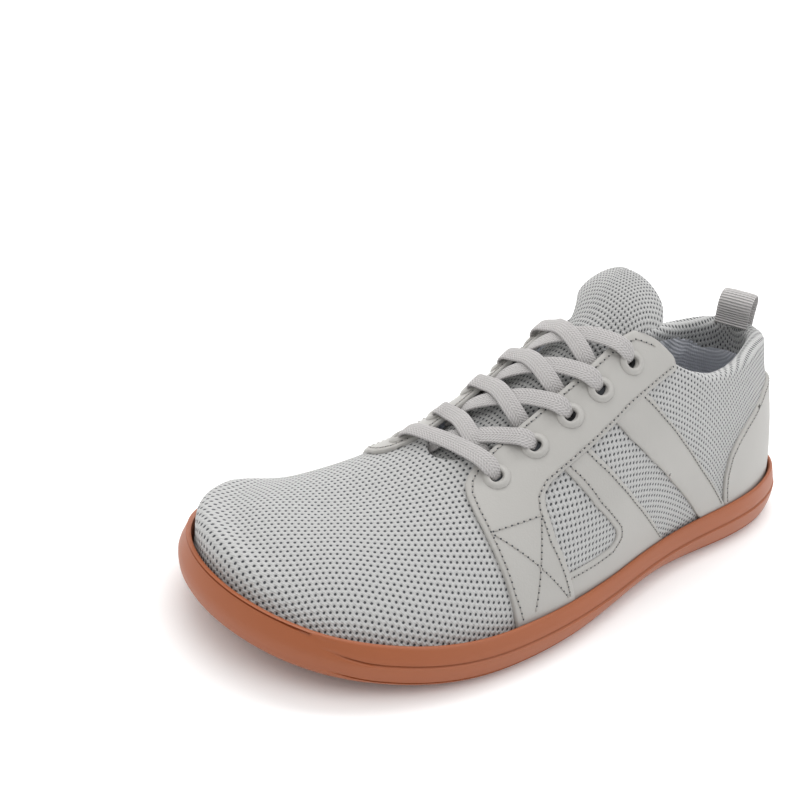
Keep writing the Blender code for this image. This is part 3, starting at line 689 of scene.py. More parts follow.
def add_piece(name, points, faces, materials, uv=None, kinds=None, node=None, sharp=None):
    """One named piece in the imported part's frame, riding on the shoe's body."""
    mesh = bpy.data.meshes.new(name)
    mesh.from_pydata((np.asarray(points, float) + SHIFT).tolist(), [], faces)
    for material in materials:
        mesh.materials.append(material)
    if kinds is not None:
        mesh.polygons.foreach_set("material_index", kinds)
    if uv is not None:
        layer = mesh.uv_layers.new(name="cloth")
        corners = np.zeros(len(mesh.loops), int)
        mesh.loops.foreach_get("vertex_index", corners)
        layer.data.foreach_set("uv", np.asarray(uv, float)[corners].ravel())
    body = bmesh.new()
    body.from_mesh(mesh)
    bmesh.ops.remove_doubles(body, verts=body.verts, dist=2e-6)
    bmesh.ops.recalc_face_normals(body, faces=body.faces)
    body.to_mesh(mesh)
    body.free()
    mesh.shade_smooth()
    if sharp:
        mesh.set_sharp_from_angle(angle=math.radians(sharp))
    piece = bpy.data.objects.new(name, mesh)
    bpy.context.scene.collection.objects.link(piece)
    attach(piece, "root")
    if node:
        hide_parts(*([node] if isinstance(node, str) else node))
    return piece


def add_node(material, kind, inputs, **settings):
    """Adds a shader node and gives its outputs; sockets among the inputs are linked, other values are set."""
    node = material.node_tree.nodes.new("ShaderNode" + kind)
    for key, value in settings.items():
        setattr(node, key, value)
    for key, value in inputs.items():
        if isinstance(value, bpy.types.NodeSocket):
            material.node_tree.links.new(value, node.inputs[key])
        else:
            node.inputs[key].default_value = value
    return node.outputs


def new_material(name, colour, roughness, ior=1.5):
    """A material with its shader; the shader is None when the material was made before."""
    material = bpy.data.materials.get(name)
    if material:
        return material, None
    material = bpy.data.materials.new(name)
    material.use_nodes = True
    shader = material.node_tree.nodes["Principled BSDF"]
    shader.inputs["Base Color"].default_value = (*colour, 1)
    shader.inputs["Roughness"].default_value = roughness
    shader.inputs["IOR"].default_value = ior
    return material, shader


def join(material, shader, patterns):
    """Links patterns to the shader's inputs, each under the input's name."""
    for name, output in patterns.items():
        material.node_tree.links.new(output, shader.inputs[name])


def shades(colour, low, high):
    """Two shades of a colour, numbered as the colour inputs of a Mix node."""
    dark, light = ((*[min(1.0, channel * factor) for channel in colour], 1) for factor in (low, high))
    return {6: dark, 7: light}


def millimetres(material, source="UV"):
    """Pattern coordinates in millimetres, from the cloth's own map or from the object."""
    place = add_node(material, "TexCoord", {})[source]
    return add_node(material, "VectorMath", {0: place, "Scale": 1000.0}, operation="SCALE")[0]


def ripple(material, place, wave):
    """A cosine that runs over the place, wave given as its turns per millimetre in x, y and z."""
    turns = tuple(2 * math.pi * part for part in wave)
    along = add_node(material, "VectorMath", {0: place, 1: turns}, operation="DOT_PRODUCT")["Value"]
    return add_node(material, "Math", {0: along}, operation="COSINE")[0]


def gum_rubber(colours):
    """Natural gum rubber, moulded in a satin steel mould: even orange brown with a soft broad highlight."""
    material, shader = new_material("gum_rubber_moulded", colours.rubber, 0.46, 1.52)
    if shader:
        place = millimetres(material, "Object")
        cloud = add_node(material, "TexNoise", {"Vector": place, "Scale": 0.02, "Detail": 4.0})[0]
        # mould satin of about 0.2 mm, drawn at 0.5 mm so that it shows
        satin = add_node(material, "TexNoise", {"Vector": place, "Scale": 2.0, "Detail": 2.0})[0]
        ends = shades(colours.rubber, 0.90, 1.10)
        tone = add_node(material, "Mix", {0: cloud, **ends}, data_type="RGBA")[2]
        rough = add_node(material, "Math", {0: cloud, 1: 0.16, 2: 0.38}, operation="MULTIPLY_ADD")[0]
        bump = add_node(material, "Bump", {"Height": satin, "Distance": 0.00006, "Strength": 0.6})[0]
        join(material, shader, {"Base Color": tone, "Roughness": rough, "Normal": bump})
    return material


def tread_rubber_painted_shade(colours):
    """The same rubber on the recessed tread floor, dull from its coarse mould, its colour darkened with
    painted shade for the shadow between the lugs.
    """
    material, shader = new_material("gum_rubber_tread_floor", colours.tread_floor_painted_shade, 0.7, 1.52)
    if shader:
        place = millimetres(material, "Object")
        grit = add_node(material, "TexNoise", {"Vector": place, "Scale": 1.2, "Detail": 3.0})[0]
        ends = shades(colours.tread_floor_painted_shade, 0.8, 1.2)
        tone = add_node(material, "Mix", {0: grit, **ends}, data_type="RGBA")[2]
        bump = add_node(material, "Bump", {"Height": grit, "Distance": 0.0001, "Strength": 0.6})[0]
        join(material, shader, {"Base Color": tone, "Normal": bump})
    return material


def air_mesh(colours, pitch):
    """Warp-knitted polyester air mesh: pale matte yarn round staggered holes, with painted shade in the holes
    for the shadow inside them.
    """
    material, shader = new_material("polyester_air_mesh_knitted", colours.mesh, 0.88)
    if shader:
        place = millimetres(material)
        step = pitch * 1000
        column = step * 0.85
        # three waves across each other leave a staggered lattice of peaks, where the holes are
        lattice = ripple(material, place, (1 / column, 0.0, 0.0))
        for lean in (-0.5, 0.5):
            wave = ripple(material, place, (lean / column, 1 / step, 0.0))
            lattice = add_node(material, "Math", {0: lattice, 1: wave}, operation="ADD")[0]
        # the yarn's own loops are a third of the pitch
        loops = ripple(material, place, (2.5 / column, 1.5 / step, 0.0))
        fuzz = add_node(material, "TexNoise", {"Vector": place, "Scale": 1.6, "Detail": 3.0})[0]
        uneven = add_node(material, "Math", {0: fuzz, 1: 0.9, 2: -0.45}, operation="MULTIPLY_ADD")[0]
        lattice = add_node(material, "Math", {0: lattice, 1: uneven}, operation="ADD")[0]
        hole = add_node(material, "MapRange", {0: lattice, 1: 1.05, 2: 1.95},
                        interpolation_type="SMOOTHSTEP")[0]
        factor = add_node(material, "Math", {0: loops, 1: 0.3, 2: 0.5}, operation="MULTIPLY_ADD")[0]
        yarn = add_node(material, "Mix", {0: factor, **shades(colours.mesh, 0.88, 1.06)}, data_type="RGBA")[2]
        # painted shade: the holes take a dark colour for the shadow inside them
        tone = add_node(material, "Mix", {0: hole, 6: yarn, 7: (*colours.hole_painted_shade, 1)}, data_type="RGBA")[2]
        sunk = add_node(material, "Math", {0: lattice, 1: -0.45}, operation="MULTIPLY")[0]
        height = add_node(material, "Math", {0: loops, 1: 0.12, 2: sunk}, operation="MULTIPLY_ADD")[0]
        bump = add_node(material, "Bump", {"Height": height, "Distance": 0.0004, "Strength": 0.75})[0]
        join(material, shader, {"Base Color": tone, "Normal": bump})
        shader.inputs["Sheen Weight"].default_value = 0.15
        shader.inputs["Sheen Roughness"].default_value = 0.5
    return material


def coated_leather(colours):
    """Split leather with a thin polyurethane coat, embossed fine: even warm grey with a low satin sheen."""
    material, shader = new_material("coated_leather_embossed", colours.leather, 0.5)
    if shader:
        place = millimetres(material, "Object")
        cloud = add_node(material, "TexNoise", {"Vector": place, "Scale": 0.05, "Detail": 3.0})[0]
        # pebbles of about 0.4 mm, drawn at 0.7 mm so that they show
        pebble = add_node(material, "TexVoronoi", {"Vector": place, "Scale": 1.4})[0]
        ends = shades(colours.leather, 0.95, 1.04)
        tone = add_node(material, "Mix", {0: cloud, **ends}, data_type="RGBA")[2]
        bump = add_node(material, "Bump", {"Height": pebble, "Distance": 0.00008, "Strength": 0.35})[0]
        join(material, shader, {"Base Color": tone, "Normal": bump})
    return material


def flat_lace(colours):
    """Flat tubular polyester lace, braided: soft chevrons along its length, dull with a faint sheen."""
    material, shader = new_material("polyester_lace_braided", colours.lace, 0.85)
    if shader:
        place = millimetres(material)
        parts = add_node(material, "SeparateXYZ", {0: place})
        lean = add_node(material, "Math", {0: parts[0]}, operation="ABSOLUTE")[0]
        slant = add_node(material, "Math", {0: parts[1], 1: lean}, operation="ADD")[0]
        # chevrons 1.3 mm apart, crossed by wales 1.0 mm apart
        turns = add_node(material, "Math", {0: slant, 1: 2 * math.pi / 1.3}, operation="MULTIPLY")[0]
        chevron = add_node(material, "Math", {0: turns}, operation="COSINE")[0]
        wale = ripple(material, place, (1.0, 0.0, 0.0))
        low_wale = add_node(material, "Math", {0: wale, 1: 0.4}, operation="MULTIPLY")[0]
        weave = add_node(material, "Math", {0: chevron, 1: 0.5, 2: low_wale}, operation="MULTIPLY_ADD")[0]
        factor = add_node(material, "Math", {0: weave, 1: 0.5, 2: 0.5}, operation="MULTIPLY_ADD")[0]
        ends = shades(colours.lace, 0.72, 1.08)
        tone = add_node(material, "Mix", {0: factor, **ends}, data_type="RGBA")[2]
        bump = add_node(material, "Bump", {"Height": weave, "Distance": 0.00025, "Strength": 0.8})[0]
        join(material, shader, {"Base Color": tone, "Normal": bump})
        shader.inputs["Sheen Weight"].default_value = 0.1
    return material


def ribbed_webbing(colours):
    """Woven polyester webbing with ribs across it, 1.2 mm apart."""
    material, shader = new_material("polyester_webbing_ribbed", colours.lace, 0.85)
    if shader:
        place = millimetres(material)
        rib = ripple(material, place, (0.0, 1 / 1.2, 0.0))
        yarn = ripple(material, place, (1 / 0.6, 0.0, 0.0))
        weave = add_node(material, "Math", {0: yarn, 1: 0.25, 2: rib}, operation="MULTIPLY_ADD")[0]
        factor = add_node(material, "Math", {0: weave, 1: 0.4, 2: 0.5}, operation="MULTIPLY_ADD")[0]
        ends = shades(colours.lace, 0.88, 1.15)
        tone = add_node(material, "Mix", {0: factor, **ends}, data_type="RGBA")[2]
        bump = add_node(material, "Bump", {"Height": weave, "Distance": 0.00030, "Strength": 0.9})[0]
        join(material, shader, {"Base Color": tone, "Normal": bump})
    return material


def twill_lining_painted_light(colours):
    """Brushed polyester twill: pale blue grey with fine slanting wales, lightened with painted light that
    stands for light falling into the collar.
    """
    material, shader = new_material("polyester_lining_twill_painted_light", colours.lining, 0.9)
    if shader:
        place = millimetres(material)
        # wales of 0.8 mm, drawn at 1.3 mm so that they show
        wale = ripple(material, place, (0.55, 0.55, 0.0))
        yarn = ripple(material, place, (0.9, -0.5, 0.0))
        weave = add_node(material, "Math", {0: yarn, 1: 0.4, 2: wale}, operation="MULTIPLY_ADD")[0]
        factor = add_node(material, "Math", {0: weave, 1: 0.35, 2: 0.5}, operation="MULTIPLY_ADD")[0]
        ends = shades(colours.lining, 0.80, 1.05)
        tone = add_node(material, "Mix", {0: factor, **ends}, data_type="RGBA")[2]
        bump = add_node(material, "Bump", {"Height": weave, "Distance": 0.0002, "Strength": 0.6})[0]
        join(material, shader, {"Base Color": tone, "Normal": bump})
    return material


def insole_cover(colours):
    """Polyester jersey bonded to foam: dull mid grey with a fine grain."""
    material, shader = new_material("polyester_jersey_bonded", colours.insole, 0.92)
    if shader:
        place = millimetres(material, "Object")
        # knit of 0.7 mm, drawn at 1.1 mm so that it shows
        across = ripple(material, place, (0.9, 0.0, 0.0))
        along = ripple(material, place, (0.0, 0.9, 0.0))
        knit = add_node(material, "Math", {0: across, 1: along}, operation="MULTIPLY")[0]
        factor = add_node(material, "Math", {0: knit, 1: 0.4, 2: 0.5}, operation="MULTIPLY_ADD")[0]
        ends = shades(colours.insole, 0.85, 1.05)
        tone = add_node(material, "Mix", {0: factor, **ends}, data_type="RGBA")[2]
        bump = add_node(material, "Bump", {"Height": knit, "Distance": 0.00015, "Strength": 0.6})[0]
        join(material, shader, {"Base Color": tone, "Normal": bump})
    return material


def sewing_thread(colours):
    """Bonded nylon thread, twisted: a little shinier than the leather it holds."""
    material, shader = new_material("nylon_thread_bonded", colours.thread, 0.55, 1.53)
    if shader:
        twist = ripple(material, millimetres(material, "Object"), (1.6, 1.6, 1.6))
        factor = add_node(material, "Math", {0: twist, 1: 0.5, 2: 0.5}, operation="MULTIPLY_ADD")[0]
        ends = shades(colours.thread, 0.75, 1.05)
        tone = add_node(material, "Mix", {0: factor, **ends}, data_type="RGBA")[2]
        join(material, shader, {"Base Color": tone})
    return material


def needle_hole(colours):
    """Painted shadow in the needle holes of the leather and in the eyelets' holes."""
    material, shader = new_material("painted_hole_shadow", colours.hole_painted_shade, 0.9)
    if shader:
        place = millimetres(material, "Object")
        grain = add_node(material, "TexNoise", {"Vector": place, "Scale": 2.0})[0]
        ends = shades(colours.hole_painted_shade, 0.8, 1.4)
        tone = add_node(material, "Mix", {0: grain, **ends}, data_type="RGBA")[2]
        join(material, shader, {"Base Color": tone})
    return material


def studio_floor(colours):
    """Matt painted board, bright and without pattern, as a photographer's sweep."""
    material, shader = new_material("painted_board_matt", colours.floor, 0.9)
    if shader:
        place = millimetres(material, "Object")
        paper = add_node(material, "TexNoise", {"Vector": place, "Scale": 0.004, "Detail": 1.0})[0]
        ends = shades(colours.floor, 0.99, 1.0)
        tone = add_node(material, "Mix", {0: paper, **ends}, data_type="RGBA")[2]
        join(material, shader, {"Base Color": tone})
    return material


def field_inset(share):
    return CONTACT_INSET + WAIST_TUCK * waist(share) + MARGIN_WIDTH


def rounded_triangle(side, radius):
    """Corners of a triangle that points along +X, rounded, with four points to a corner."""
    reach = side / math.sqrt(3) - 2 * radius
    points = []
    for corner in range(3):
        middle = 2 * math.pi * corner / 3
        for k in range(4):
            angle = middle + math.pi / 3 * (-1 + 2 * k / 3)
            points.append((reach * math.cos(middle) + radius * math.cos(angle),
                           reach * math.sin(middle) + radius * math.sin(angle)))
    return np.array(points)


def add_block(points, faces, rings):
    """A closed body from flat rings, each a loop seen from above and its height over the underside."""
    first = len(points)
    count = len(rings[0][0])
    for loop, height in rings:
        points += [(x, y, underside(x, y) + height) for x, y in loop]
    faces += tube_faces(len(rings), count, first)
    faces.append(tuple(range(first, first + count)))
    faces.append(tuple(range(first + (len(rings) - 1) * count, first + len(rings) * count)))


def tread_lugs(points, faces, border):
    """Triangular ring lugs in staggered rows, each with its pit, round the bare oval pad."""
    rows = int((LUG_TO - LUG_FROM) * SOLE_LENGTH / LUG_ROW) + 1
    middle = PAD_PLACE * SOLE_LENGTH
    pad_y = crest_side(middle) + SPINE_SHIFT
    reach = int(BALL_WIDTH / LUG_PITCH / 2) + 1
    for row in range(rows):
        x = LUG_FROM * SOLE_LENGTH + row * LUG_ROW
        size = SMALL_LUG if SMALL_FROM < x / SOLE_LENGTH < SMALL_TO else 1.0
        for column in range(-reach, reach + 1):
            y = column * LUG_PITCH
            point = 1 if (row + column) % 2 else -1
            place = np.array([x, y])

            def loop(side, radius, point=point, place=place, size=size):
                return rounded_triangle(side * size, radius * size) * [point, 1] + place

            off = math.hypot((x - middle) / (PAD_LENGTH / 2 + LUG_SIDE / 2),
                             (y - pad_y) / (PAD_WIDTH / 2 + LUG_SIDE / 2))
            if off > 1 and inside(loop(LUG_SIDE, 0.0008), border).all():
                add_block(points, faces, [
                    (loop(LUG_SIDE + 0.0004, 0.0010), TREAD_DEPTH + 0.0003),
                    (loop(LUG_SIDE, 0.0009), 0.0005),
                    (loop(LUG_SIDE - 0.0009, 0.0008), 0.0),
                    (loop(LUG_SIDE * 0.56, 0.0006), 0.0),
                    (loop(LUG_SIDE * 0.46, 0.0005), 0.0011),
                ])


def tread_ribs(points, faces, border, pitch):
    """Wavy ribs across the heel and the toe."""
    rows = int((LUG_TO - LUG_FROM) * SOLE_LENGTH / LUG_ROW)
    heel = LUG_FROM * SOLE_LENGTH - RIB_START
    toe = LUG_FROM * SOLE_LENGTH + rows * LUG_ROW + RIB_START
    profile = ((-0.00145, TREAD_DEPTH + 0.0003), (-0.00130, 0.0004), (-0.00095, 0.0),
               (0.00095, 0.0), (0.00130, 0.0004), (0.00145, TREAD_DEPTH + 0.0003))
    for x in [heel - pitch * k for k in range(RIB_COUNT)] + [toe + pitch * k for k in range(RIB_COUNT)]:
        ys = np.arange(-0.062, 0.062, 0.0011)
        line = np.stack([x + RIB_SWING * np.sin(2 * math.pi * ys / RIB_WAVE), ys], -1)
        keep = inside(line + [0.0016, 0], border) & inside(line - [0.0016, 0], border)
        line = line[keep]
        if len(line) < 6:
            continue
        first = len(points)
        for px, py in line:
            points += [(px + dx, py, underside(px + dx, py) + height) for dx, height in profile]
        count = len(profile)
        faces += tube_faces(len(line), count, first)
        faces.append(tuple(range(first, first + count)))
        faces.append(tuple(range(len(points) - count, len(points))))


def build_outsole(sizes, colours):
    turns = np.array(turns_round(110))
    count = len(turns)
    shares = share_of(turns)
    points = []
    rings = 0

    def add_ring(inset, height):
        nonlocal rings
        flat = inset_outline(turns, inset)
        points.extend(np.c_[flat, underside(flat[:, 0], flat[:, 1]) + height].tolist())
        rings += 1

    ones = np.ones(count)
    contact = CONTACT_INSET + WAIST_TUCK * waist(shares)
    add_ring(field_inset(shares) + 0.0005, ones * TREAD_DEPTH)
    add_ring(field_inset(shares) + 0.0001, ones * 0.0004)
    add_ring(field_inset(shares) - 0.0004, ones * 0.0)
    add_ring(contact + 0.0005, ones * 0.0)
    sweep = smooth_step(*GROOVE_SWEEP, shares)
    toe_fade = 1 - smooth_step(*GROOVE_FADE, shares)
    insets = [row[0] / 1000 for row in SIDE_WALL]
    levels = [row[1] for row in SIDE_WALL]
    for _, height, groove in SIDE_WALL:
        tuck = WAIST_TUCK * max(0.0, 1 - height / 0.6) ** 2
        level = height + GROOVE_LIFT * sweep * height * max(0.0, 1 - height)
        bands = np.interp(level, levels, insets) if height < 0.95 else ones * insets[levels.index(height)]
        add_ring(bands + groove / 1000 * toe_fade + tuck * waist(shares), level * wall_height(shares))
    add_ring(ones * LIP_INSET, 0.90 * wall_height(shares))
    add_ring(ones * (UPPER_INSET - SEAT_GAP), ones * SOLE_FLOOR)
    faces = tube_faces(rings, count)
    faces += ladder((rings - 1) * count, count)
    # the recessed tread floor and its low wall take the rubber darkened with painted shade
    kinds = [1] * count + [0] * (len(faces) - count)

    field = inset_outline(turns, field_inset(shares) + 0.0005)
    flat, triangles = flat_triangles(field.tolist(), [], COARSE_GRID)
    base = len(points)
    points += [(x, y, float(underside(x, y)) + TREAD_DEPTH) for x, y in flat]
    faces += [tuple(base + i for i in corners) for corners in triangles]
    kinds += [1] * len(triangles)

    border = inset_outline(turns, field_inset(shares) + 0.0018).tolist()
    before = len(faces)
    tread_lugs(points, faces, border)
    tread_ribs(points, faces, border, sizes.rib_pitch)
    middle = np.array([PAD_PLACE * SOLE_LENGTH, 0.0])
    middle[1] = crest_side(middle[0]) + SPINE_SHIFT
    angles = np.linspace(0, 2 * math.pi, 64, endpoint=False)

    def oval(grow):
        return middle + np.stack([(PAD_LENGTH / 2 + grow) * np.cos(angles),
                                  (PAD_WIDTH / 2 + grow) * np.sin(angles)], -1)

    add_block(points, faces, [
        (oval(0.0003), TREAD_DEPTH + 0.0003),
        (oval(0.0), 0.0004),
        (oval(-0.0005), 0.0),
        (oval(-0.0016), 0.0),
        (oval(-0.0020), 0.0005),
        (oval(-0.0026), 0.0005),
        (oval(-0.0030), 0.0001),
    ])
    kinds += [0] * (len(faces) - before)
    add_piece("outsole_rubber", points, faces, [gum_rubber(colours), tread_rubber_painted_shade(colours)],
              kinds=kinds, node="outsole", sharp=50)


def upper_turns():
    """Stations of the upper, closer together where the throat ends."""
    near = [0.66, 0.67, 0.678, 0.685, 0.690, 0.694, 0.697, 0.699, 0.69999]
    half = sorted({math.pi * k / 160 for k in range(161)} | {turn_of(share) for share in near}
                  | {turn_of(THROAT_FRONT)})
    half = [turn for i, turn in enumerate(half) if i == 0 or turn - half[i - 1] > 1e-5]
    return half + [-turn for turn in reversed(half[1:-1])]


def unevenness(spots, scale, amount):
    """Soft random relief, the same each run."""
    return np.array([noise.noise(Vector(spot) * scale) * amount for spot in spots])


def build_upper(sizes, colours):
    turns = upper_turns()
    rows = 54
    rim = 8
    width = 2 * (rows + 1) + rim - 1
    points = []
    places = []
    closed = []
    wraps = [1 + round(6 * float(1 - smooth_step(0.45, 0.80, abs(turn)))) for turn in turns]
    for turn in turns:
        edge = edge_rise(turn)
        share = float(share_of(turn))
        closed.append(share >= THROAT_FRONT)
        rises = edge * np.linspace(0, 1, rows + 1)
        padding = smooth_step(edge - 0.28, edge - 0.10, rises)
        padding = padding * (1 - smooth_step(PADDING_ENDS - 0.08, PADDING_ENDS, share))
        thick = UPPER_WALL + (COLLAR_WALL - UPPER_WALL) * padding
        above = smooth_step(rise_over_lip(turn, 0.44), rise_over_lip(turn, 0.60), rises)
        puff = COLLAR_PUFF * padding * above
        round_toe = turn % (2 * math.pi)
        toe = smooth_step(2.60, 3.30, round_toe) * (1 - smooth_step(3.75, 4.15, round_toe))
        puff = puff + TOE_BULGE * toe * np.exp(-((rises - rise_over_lip(turn, 0.10)) / 0.10) ** 2)
        if not closed[-1]:
            uneven = unevenness(wall(turn, rises), UNEVEN_SCALE, UNEVEN_HEIGHT)
            puff = puff + uneven * smooth_step(0.25, 0.4, rises)
        outer = wall(turn, rises, puff)
        normal = outward(turn, rises[-1])
        if closed[-1]:
            inner = wall(turn, rises, -thick)
            outer[-1] = face(turn, 1.0)
            inner[-1] = (inner[-1] + wall(-turn, 1.0, -UPPER_WALL)) / 2
            bridge = [outer[-1] + (inner[-1] - outer[-1]) * k / rim for k in range(1, rim)]
        else:
            fold = sum(depth / 1000 * math.exp(-((turn - at) / wide) ** 2) for at, depth, wide in FOLDS)
            fold = fold * padding * (1 - smooth_step(edge - 0.09, edge - 0.02, rises))
            inner = wall(turn, rises, -thick + fold)
            up = outer[-1] - outer[-3]
            up = up - normal * np.dot(up, normal)
            up = up / np.linalg.norm(up)
            middle = (outer[-1] + inner[-1]) / 2
            half = np.linalg.norm(outer[-1] - inner[-1]) / 2
            across = (outer[-1] - inner[-1]) / (2 * half)
            angles = [math.pi * k / rim for k in range(1, rim)]
            bridge = [middle + across * half * math.cos(a) + up * half * 0.9 * math.sin(a) for a in angles]
        inner[0, 2] = outer[0, 2]
        points += [*outer, *bridge, *inner[::-1]]
        flat = cloth(turn, rises)
        over = flat[-1] + (flat[-1] - flat[-2]) * np.arange(1, rim)[:, None] * 0.6
        back = over[-1] + (over[-1] - over[-2]) * np.arange(1, rows + 2)[:, None]
        places += [*flat, *over, *back]
    count = len(turns)
    faces = []
    kinds = []
    for k in range(count):
        after = (k + 1) % count
        seam = closed[k] and closed[after]
        for j in range(width - 1):
            if seam and rows <= j < rows + rim:
                continue
            faces.append((k * width + j, after * width + j, after * width + j + 1, k * width + j + 1))
            kinds.append(1 if j > rows + rim + wraps[k] else 0)
        faces.append((k * width, after * width, after * width + width - 1, k * width + width - 1))
        kinds.append(0)
    materials = [air_mesh(colours, sizes.mesh_pitch), twill_lining_painted_light(colours)]
    add_piece("upper_air_mesh", points, faces, materials, uv=places, kinds=kinds, node="upper")


def build_insole(colours):
    turns = np.array(turns_round(80))
    count = len(turns)
    points = []
    steps = ((0.0022, 0.0), (0.0021, INSOLE_THICK * 0.8), (0.0026, INSOLE_THICK), (0.0045, INSOLE_THICK),
             (0.0080, INSOLE_THICK * 0.86), (0.0130, INSOLE_THICK * 0.82))
    for inset, height in steps:
        flat = inset_outline(turns, UPPER_INSET + UPPER_WALL + inset)
        points += np.c_[flat, underside(flat[:, 0], flat[:, 1]) + SOLE_FLOOR + SEAT_GAP + height].tolist()
    faces = tube_faces(len(steps), count)
    faces += ladder(0, count) + ladder((len(steps) - 1) * count, count)
    piece = add_piece("insole_jersey", points, faces, [insole_cover(colours)],
                      node="insole", sharp=60)


def inner_side_width(station):
    """Width of the tongue's inner half against its outer one, by the table's row."""
    return 1 - 0.14 * float(smooth_step(4, 6, station)) + 0.24 * float(smooth_step(6.6, 9.8, station))


def build_tongue(sizes, colours):
    rows = tuple((float(i), *row) for i, row in enumerate(TONGUE))
    stations = np.linspace(0, len(TONGUE) - 1, 90)
    columns = np.sin(np.linspace(-math.pi / 2, math.pi / 2, 41))
    layers = {1: [], -1: []}
    places = []
    for station in stations:
        share, fullness, flatness, lift = (float(natural_curve(rows, c, station)) for c in (1, 2, 3, 4))
        end = station / stations[-1]
        # thins out over its last fifth and at its very front
        fade = math.sqrt(max(0.0, 1 - max(0.0, (end - 0.80) / 0.20) ** 2.5))
        fade *= math.sqrt(max(0.0, 1 - max(0.0, (0.06 - end) / 0.06) ** 2))
        middle_turn = turn_of(share)
        for column in columns:
            side = 1 if column >= 0 else -1
            turn = side * middle_turn
            half = TONGUE_HALF * fullness
            level = flatness
            if side < 0:
                half *= inner_side_width(station)
                level += 0.25 * float(smooth_step(6.0, 8.5, station))
            rise = rise_at_half(turn, abs(column) * half)
            thick = TONGUE_THICK * (1 - 0.5 * lift**4) * math.sqrt(max(0.0, 1 - abs(column) ** 5)) * fade
            for layer in (1, -1):
                depth = UPPER_WALL + TONGUE_GAP + TONGUE_THICK / 2 - layer * thick / 2
                point = wall(turn, rise, -depth)
                if abs(column) < 0.2:
                    other = wall(-turn, rise_at_half(-turn, abs(column) * half), -depth)
                    other[1] = 2 * face(turn, 1.0)[1] - other[1]
                    weight = 0.5 * (1 - abs(column) / 0.2)
                    point = point * (1 - weight) + other * weight
                drop = wall(turn, 1.0, -depth)[2] - point[2]
                lifted = TONGUE_RISE * lift + level * drop
                layers[layer].append(point + np.array([TONGUE_LEAN * lift * lift, 0, lifted]))
            places.append((share * SOLE_LENGTH * 1.1, column * fullness * TONGUE_HALF * 1.25))
    width = len(columns)
    points = layers[1] + layers[-1]
    faces = sheet_faces(len(stations), width) + sheet_faces(len(stations), width, len(layers[1]))
    border = list(range(width)) + [i * width + width - 1 for i in range(1, len(stations))]
    border += list(range(len(layers[1]) - 2, len(layers[1]) - width - 1, -1))
    border += [i * width for i in range(len(stations) - 2, 0, -1)]
    top = len(layers[1])
    faces += [(a, b, b + top, a + top) for a, b in zip(border, border[1:] + border[:1])]
    piece = add_piece("tongue_padded", points, faces, [air_mesh(colours, sizes.mesh_pitch)],
                      uv=places + places, node="tongue")


def side_rows(table, side):
    """Places on the sheet of a table's rows; on the inner side the lacing sits a little farther forward."""
    forward = INNER_FORWARD if side < 0 else 0.0
    return [(turn_of(min(share + forward * float(smooth_step(0.30, 0.65, rise)), 0.98)) * SOLE_LENGTH / 2,
             rise * LAST_TOP) for share, rise in table]


def on_wall(side, spot, out):
    turn = side * spot[0] / (SOLE_LENGTH / 2)
    return wall(turn, rise_over_lip(turn, spot[1] / LAST_TOP), out)


def soften(loop, rounds=2, step=0.005):
    """A loop with its corners cut round."""
    loop = [np.asarray(point, float) for point in loop]
    fine = []
    for start, end in zip(loop, loop[1:] + loop[:1]):
        pieces = max(1, math.ceil(np.linalg.norm(end - start) / step))
        fine += [start + (end - start) * i / pieces for i in range(pieces)]
    for _ in range(rounds):
        fine = [point for a, b in zip(fine, fine[1:] + fine[:1])
                for point in (a * 0.75 + b * 0.25, a * 0.25 + b * 0.75)]
    return fine


def inner_loop(loop, distance):
    """A loop moved to its left by a distance."""
    loop = np.asarray(loop)
    along = np.roll(loop, -1, axis=0) - np.roll(loop, 1, axis=0)
    along = along / np.linalg.norm(along, axis=1, keepdims=True)
    return loop + np.stack([-along[:, 1], along[:, 0]], -1) * distance


def area(loop):
    loop = np.asarray(loop)
    after = np.roll(loop, -1, axis=0)
    return float((loop[:, 0] * after[:, 1] - after[:, 0] * loop[:, 1]).sum()) / 2


def add_leather(name, loop, holes, side, low, high, colours, node=None):
    """A leather piece on the upper, cut to a loop, with rounded edges."""
    borders = [loop if area(loop) > 0 else loop[::-1]]
    borders += [hole if area(hole) < 0 else hole[::-1] for hole in holes]
    thick = high - low
    steps = ((0.0, low), (0.0, low + 0.45 * thick), (0.00018, low + 0.80 * thick), (0.00060, high))
    points = []
    faces = []
    inner = []
    for border in borders:
        first = len(points)
        for distance, out in steps:
            ring = inner_loop(border, distance)
            points += [on_wall(side, spot, out) for spot in ring]
        faces += tube_faces(len(steps), len(border), first)
        inner.append(ring)
    for level, rings in ((high, inner), (low, borders)):
        flat, triangles = flat_triangles(rings[0], rings[1:], FINE_GRID if level == high else COARSE_GRID)
        first = len(points)
        points += [on_wall(side, spot, level) for spot in flat]
        faces += [tuple(first + i for i in corners) for corners in triangles]
    return add_piece(name, points, faces, [coated_leather(colours)], node=node, sharp=65)


def add_tube(points, faces, rings, around=6):
    """A short closed tube through rings, each given as its middle, its two axes and its radius."""
    first = len(points)
    for middle, across, up, radius in rings:
        for j in range(around):
            angle = 2 * math.pi * j / around
            points.append(middle + (across * math.cos(angle) + up * math.sin(angle)) * radius)
    faces += tube_faces(len(rings), around, first)
    faces.append(tuple(range(first, first + around)))
    faces.append(tuple(range(len(points) - around, len(points))))


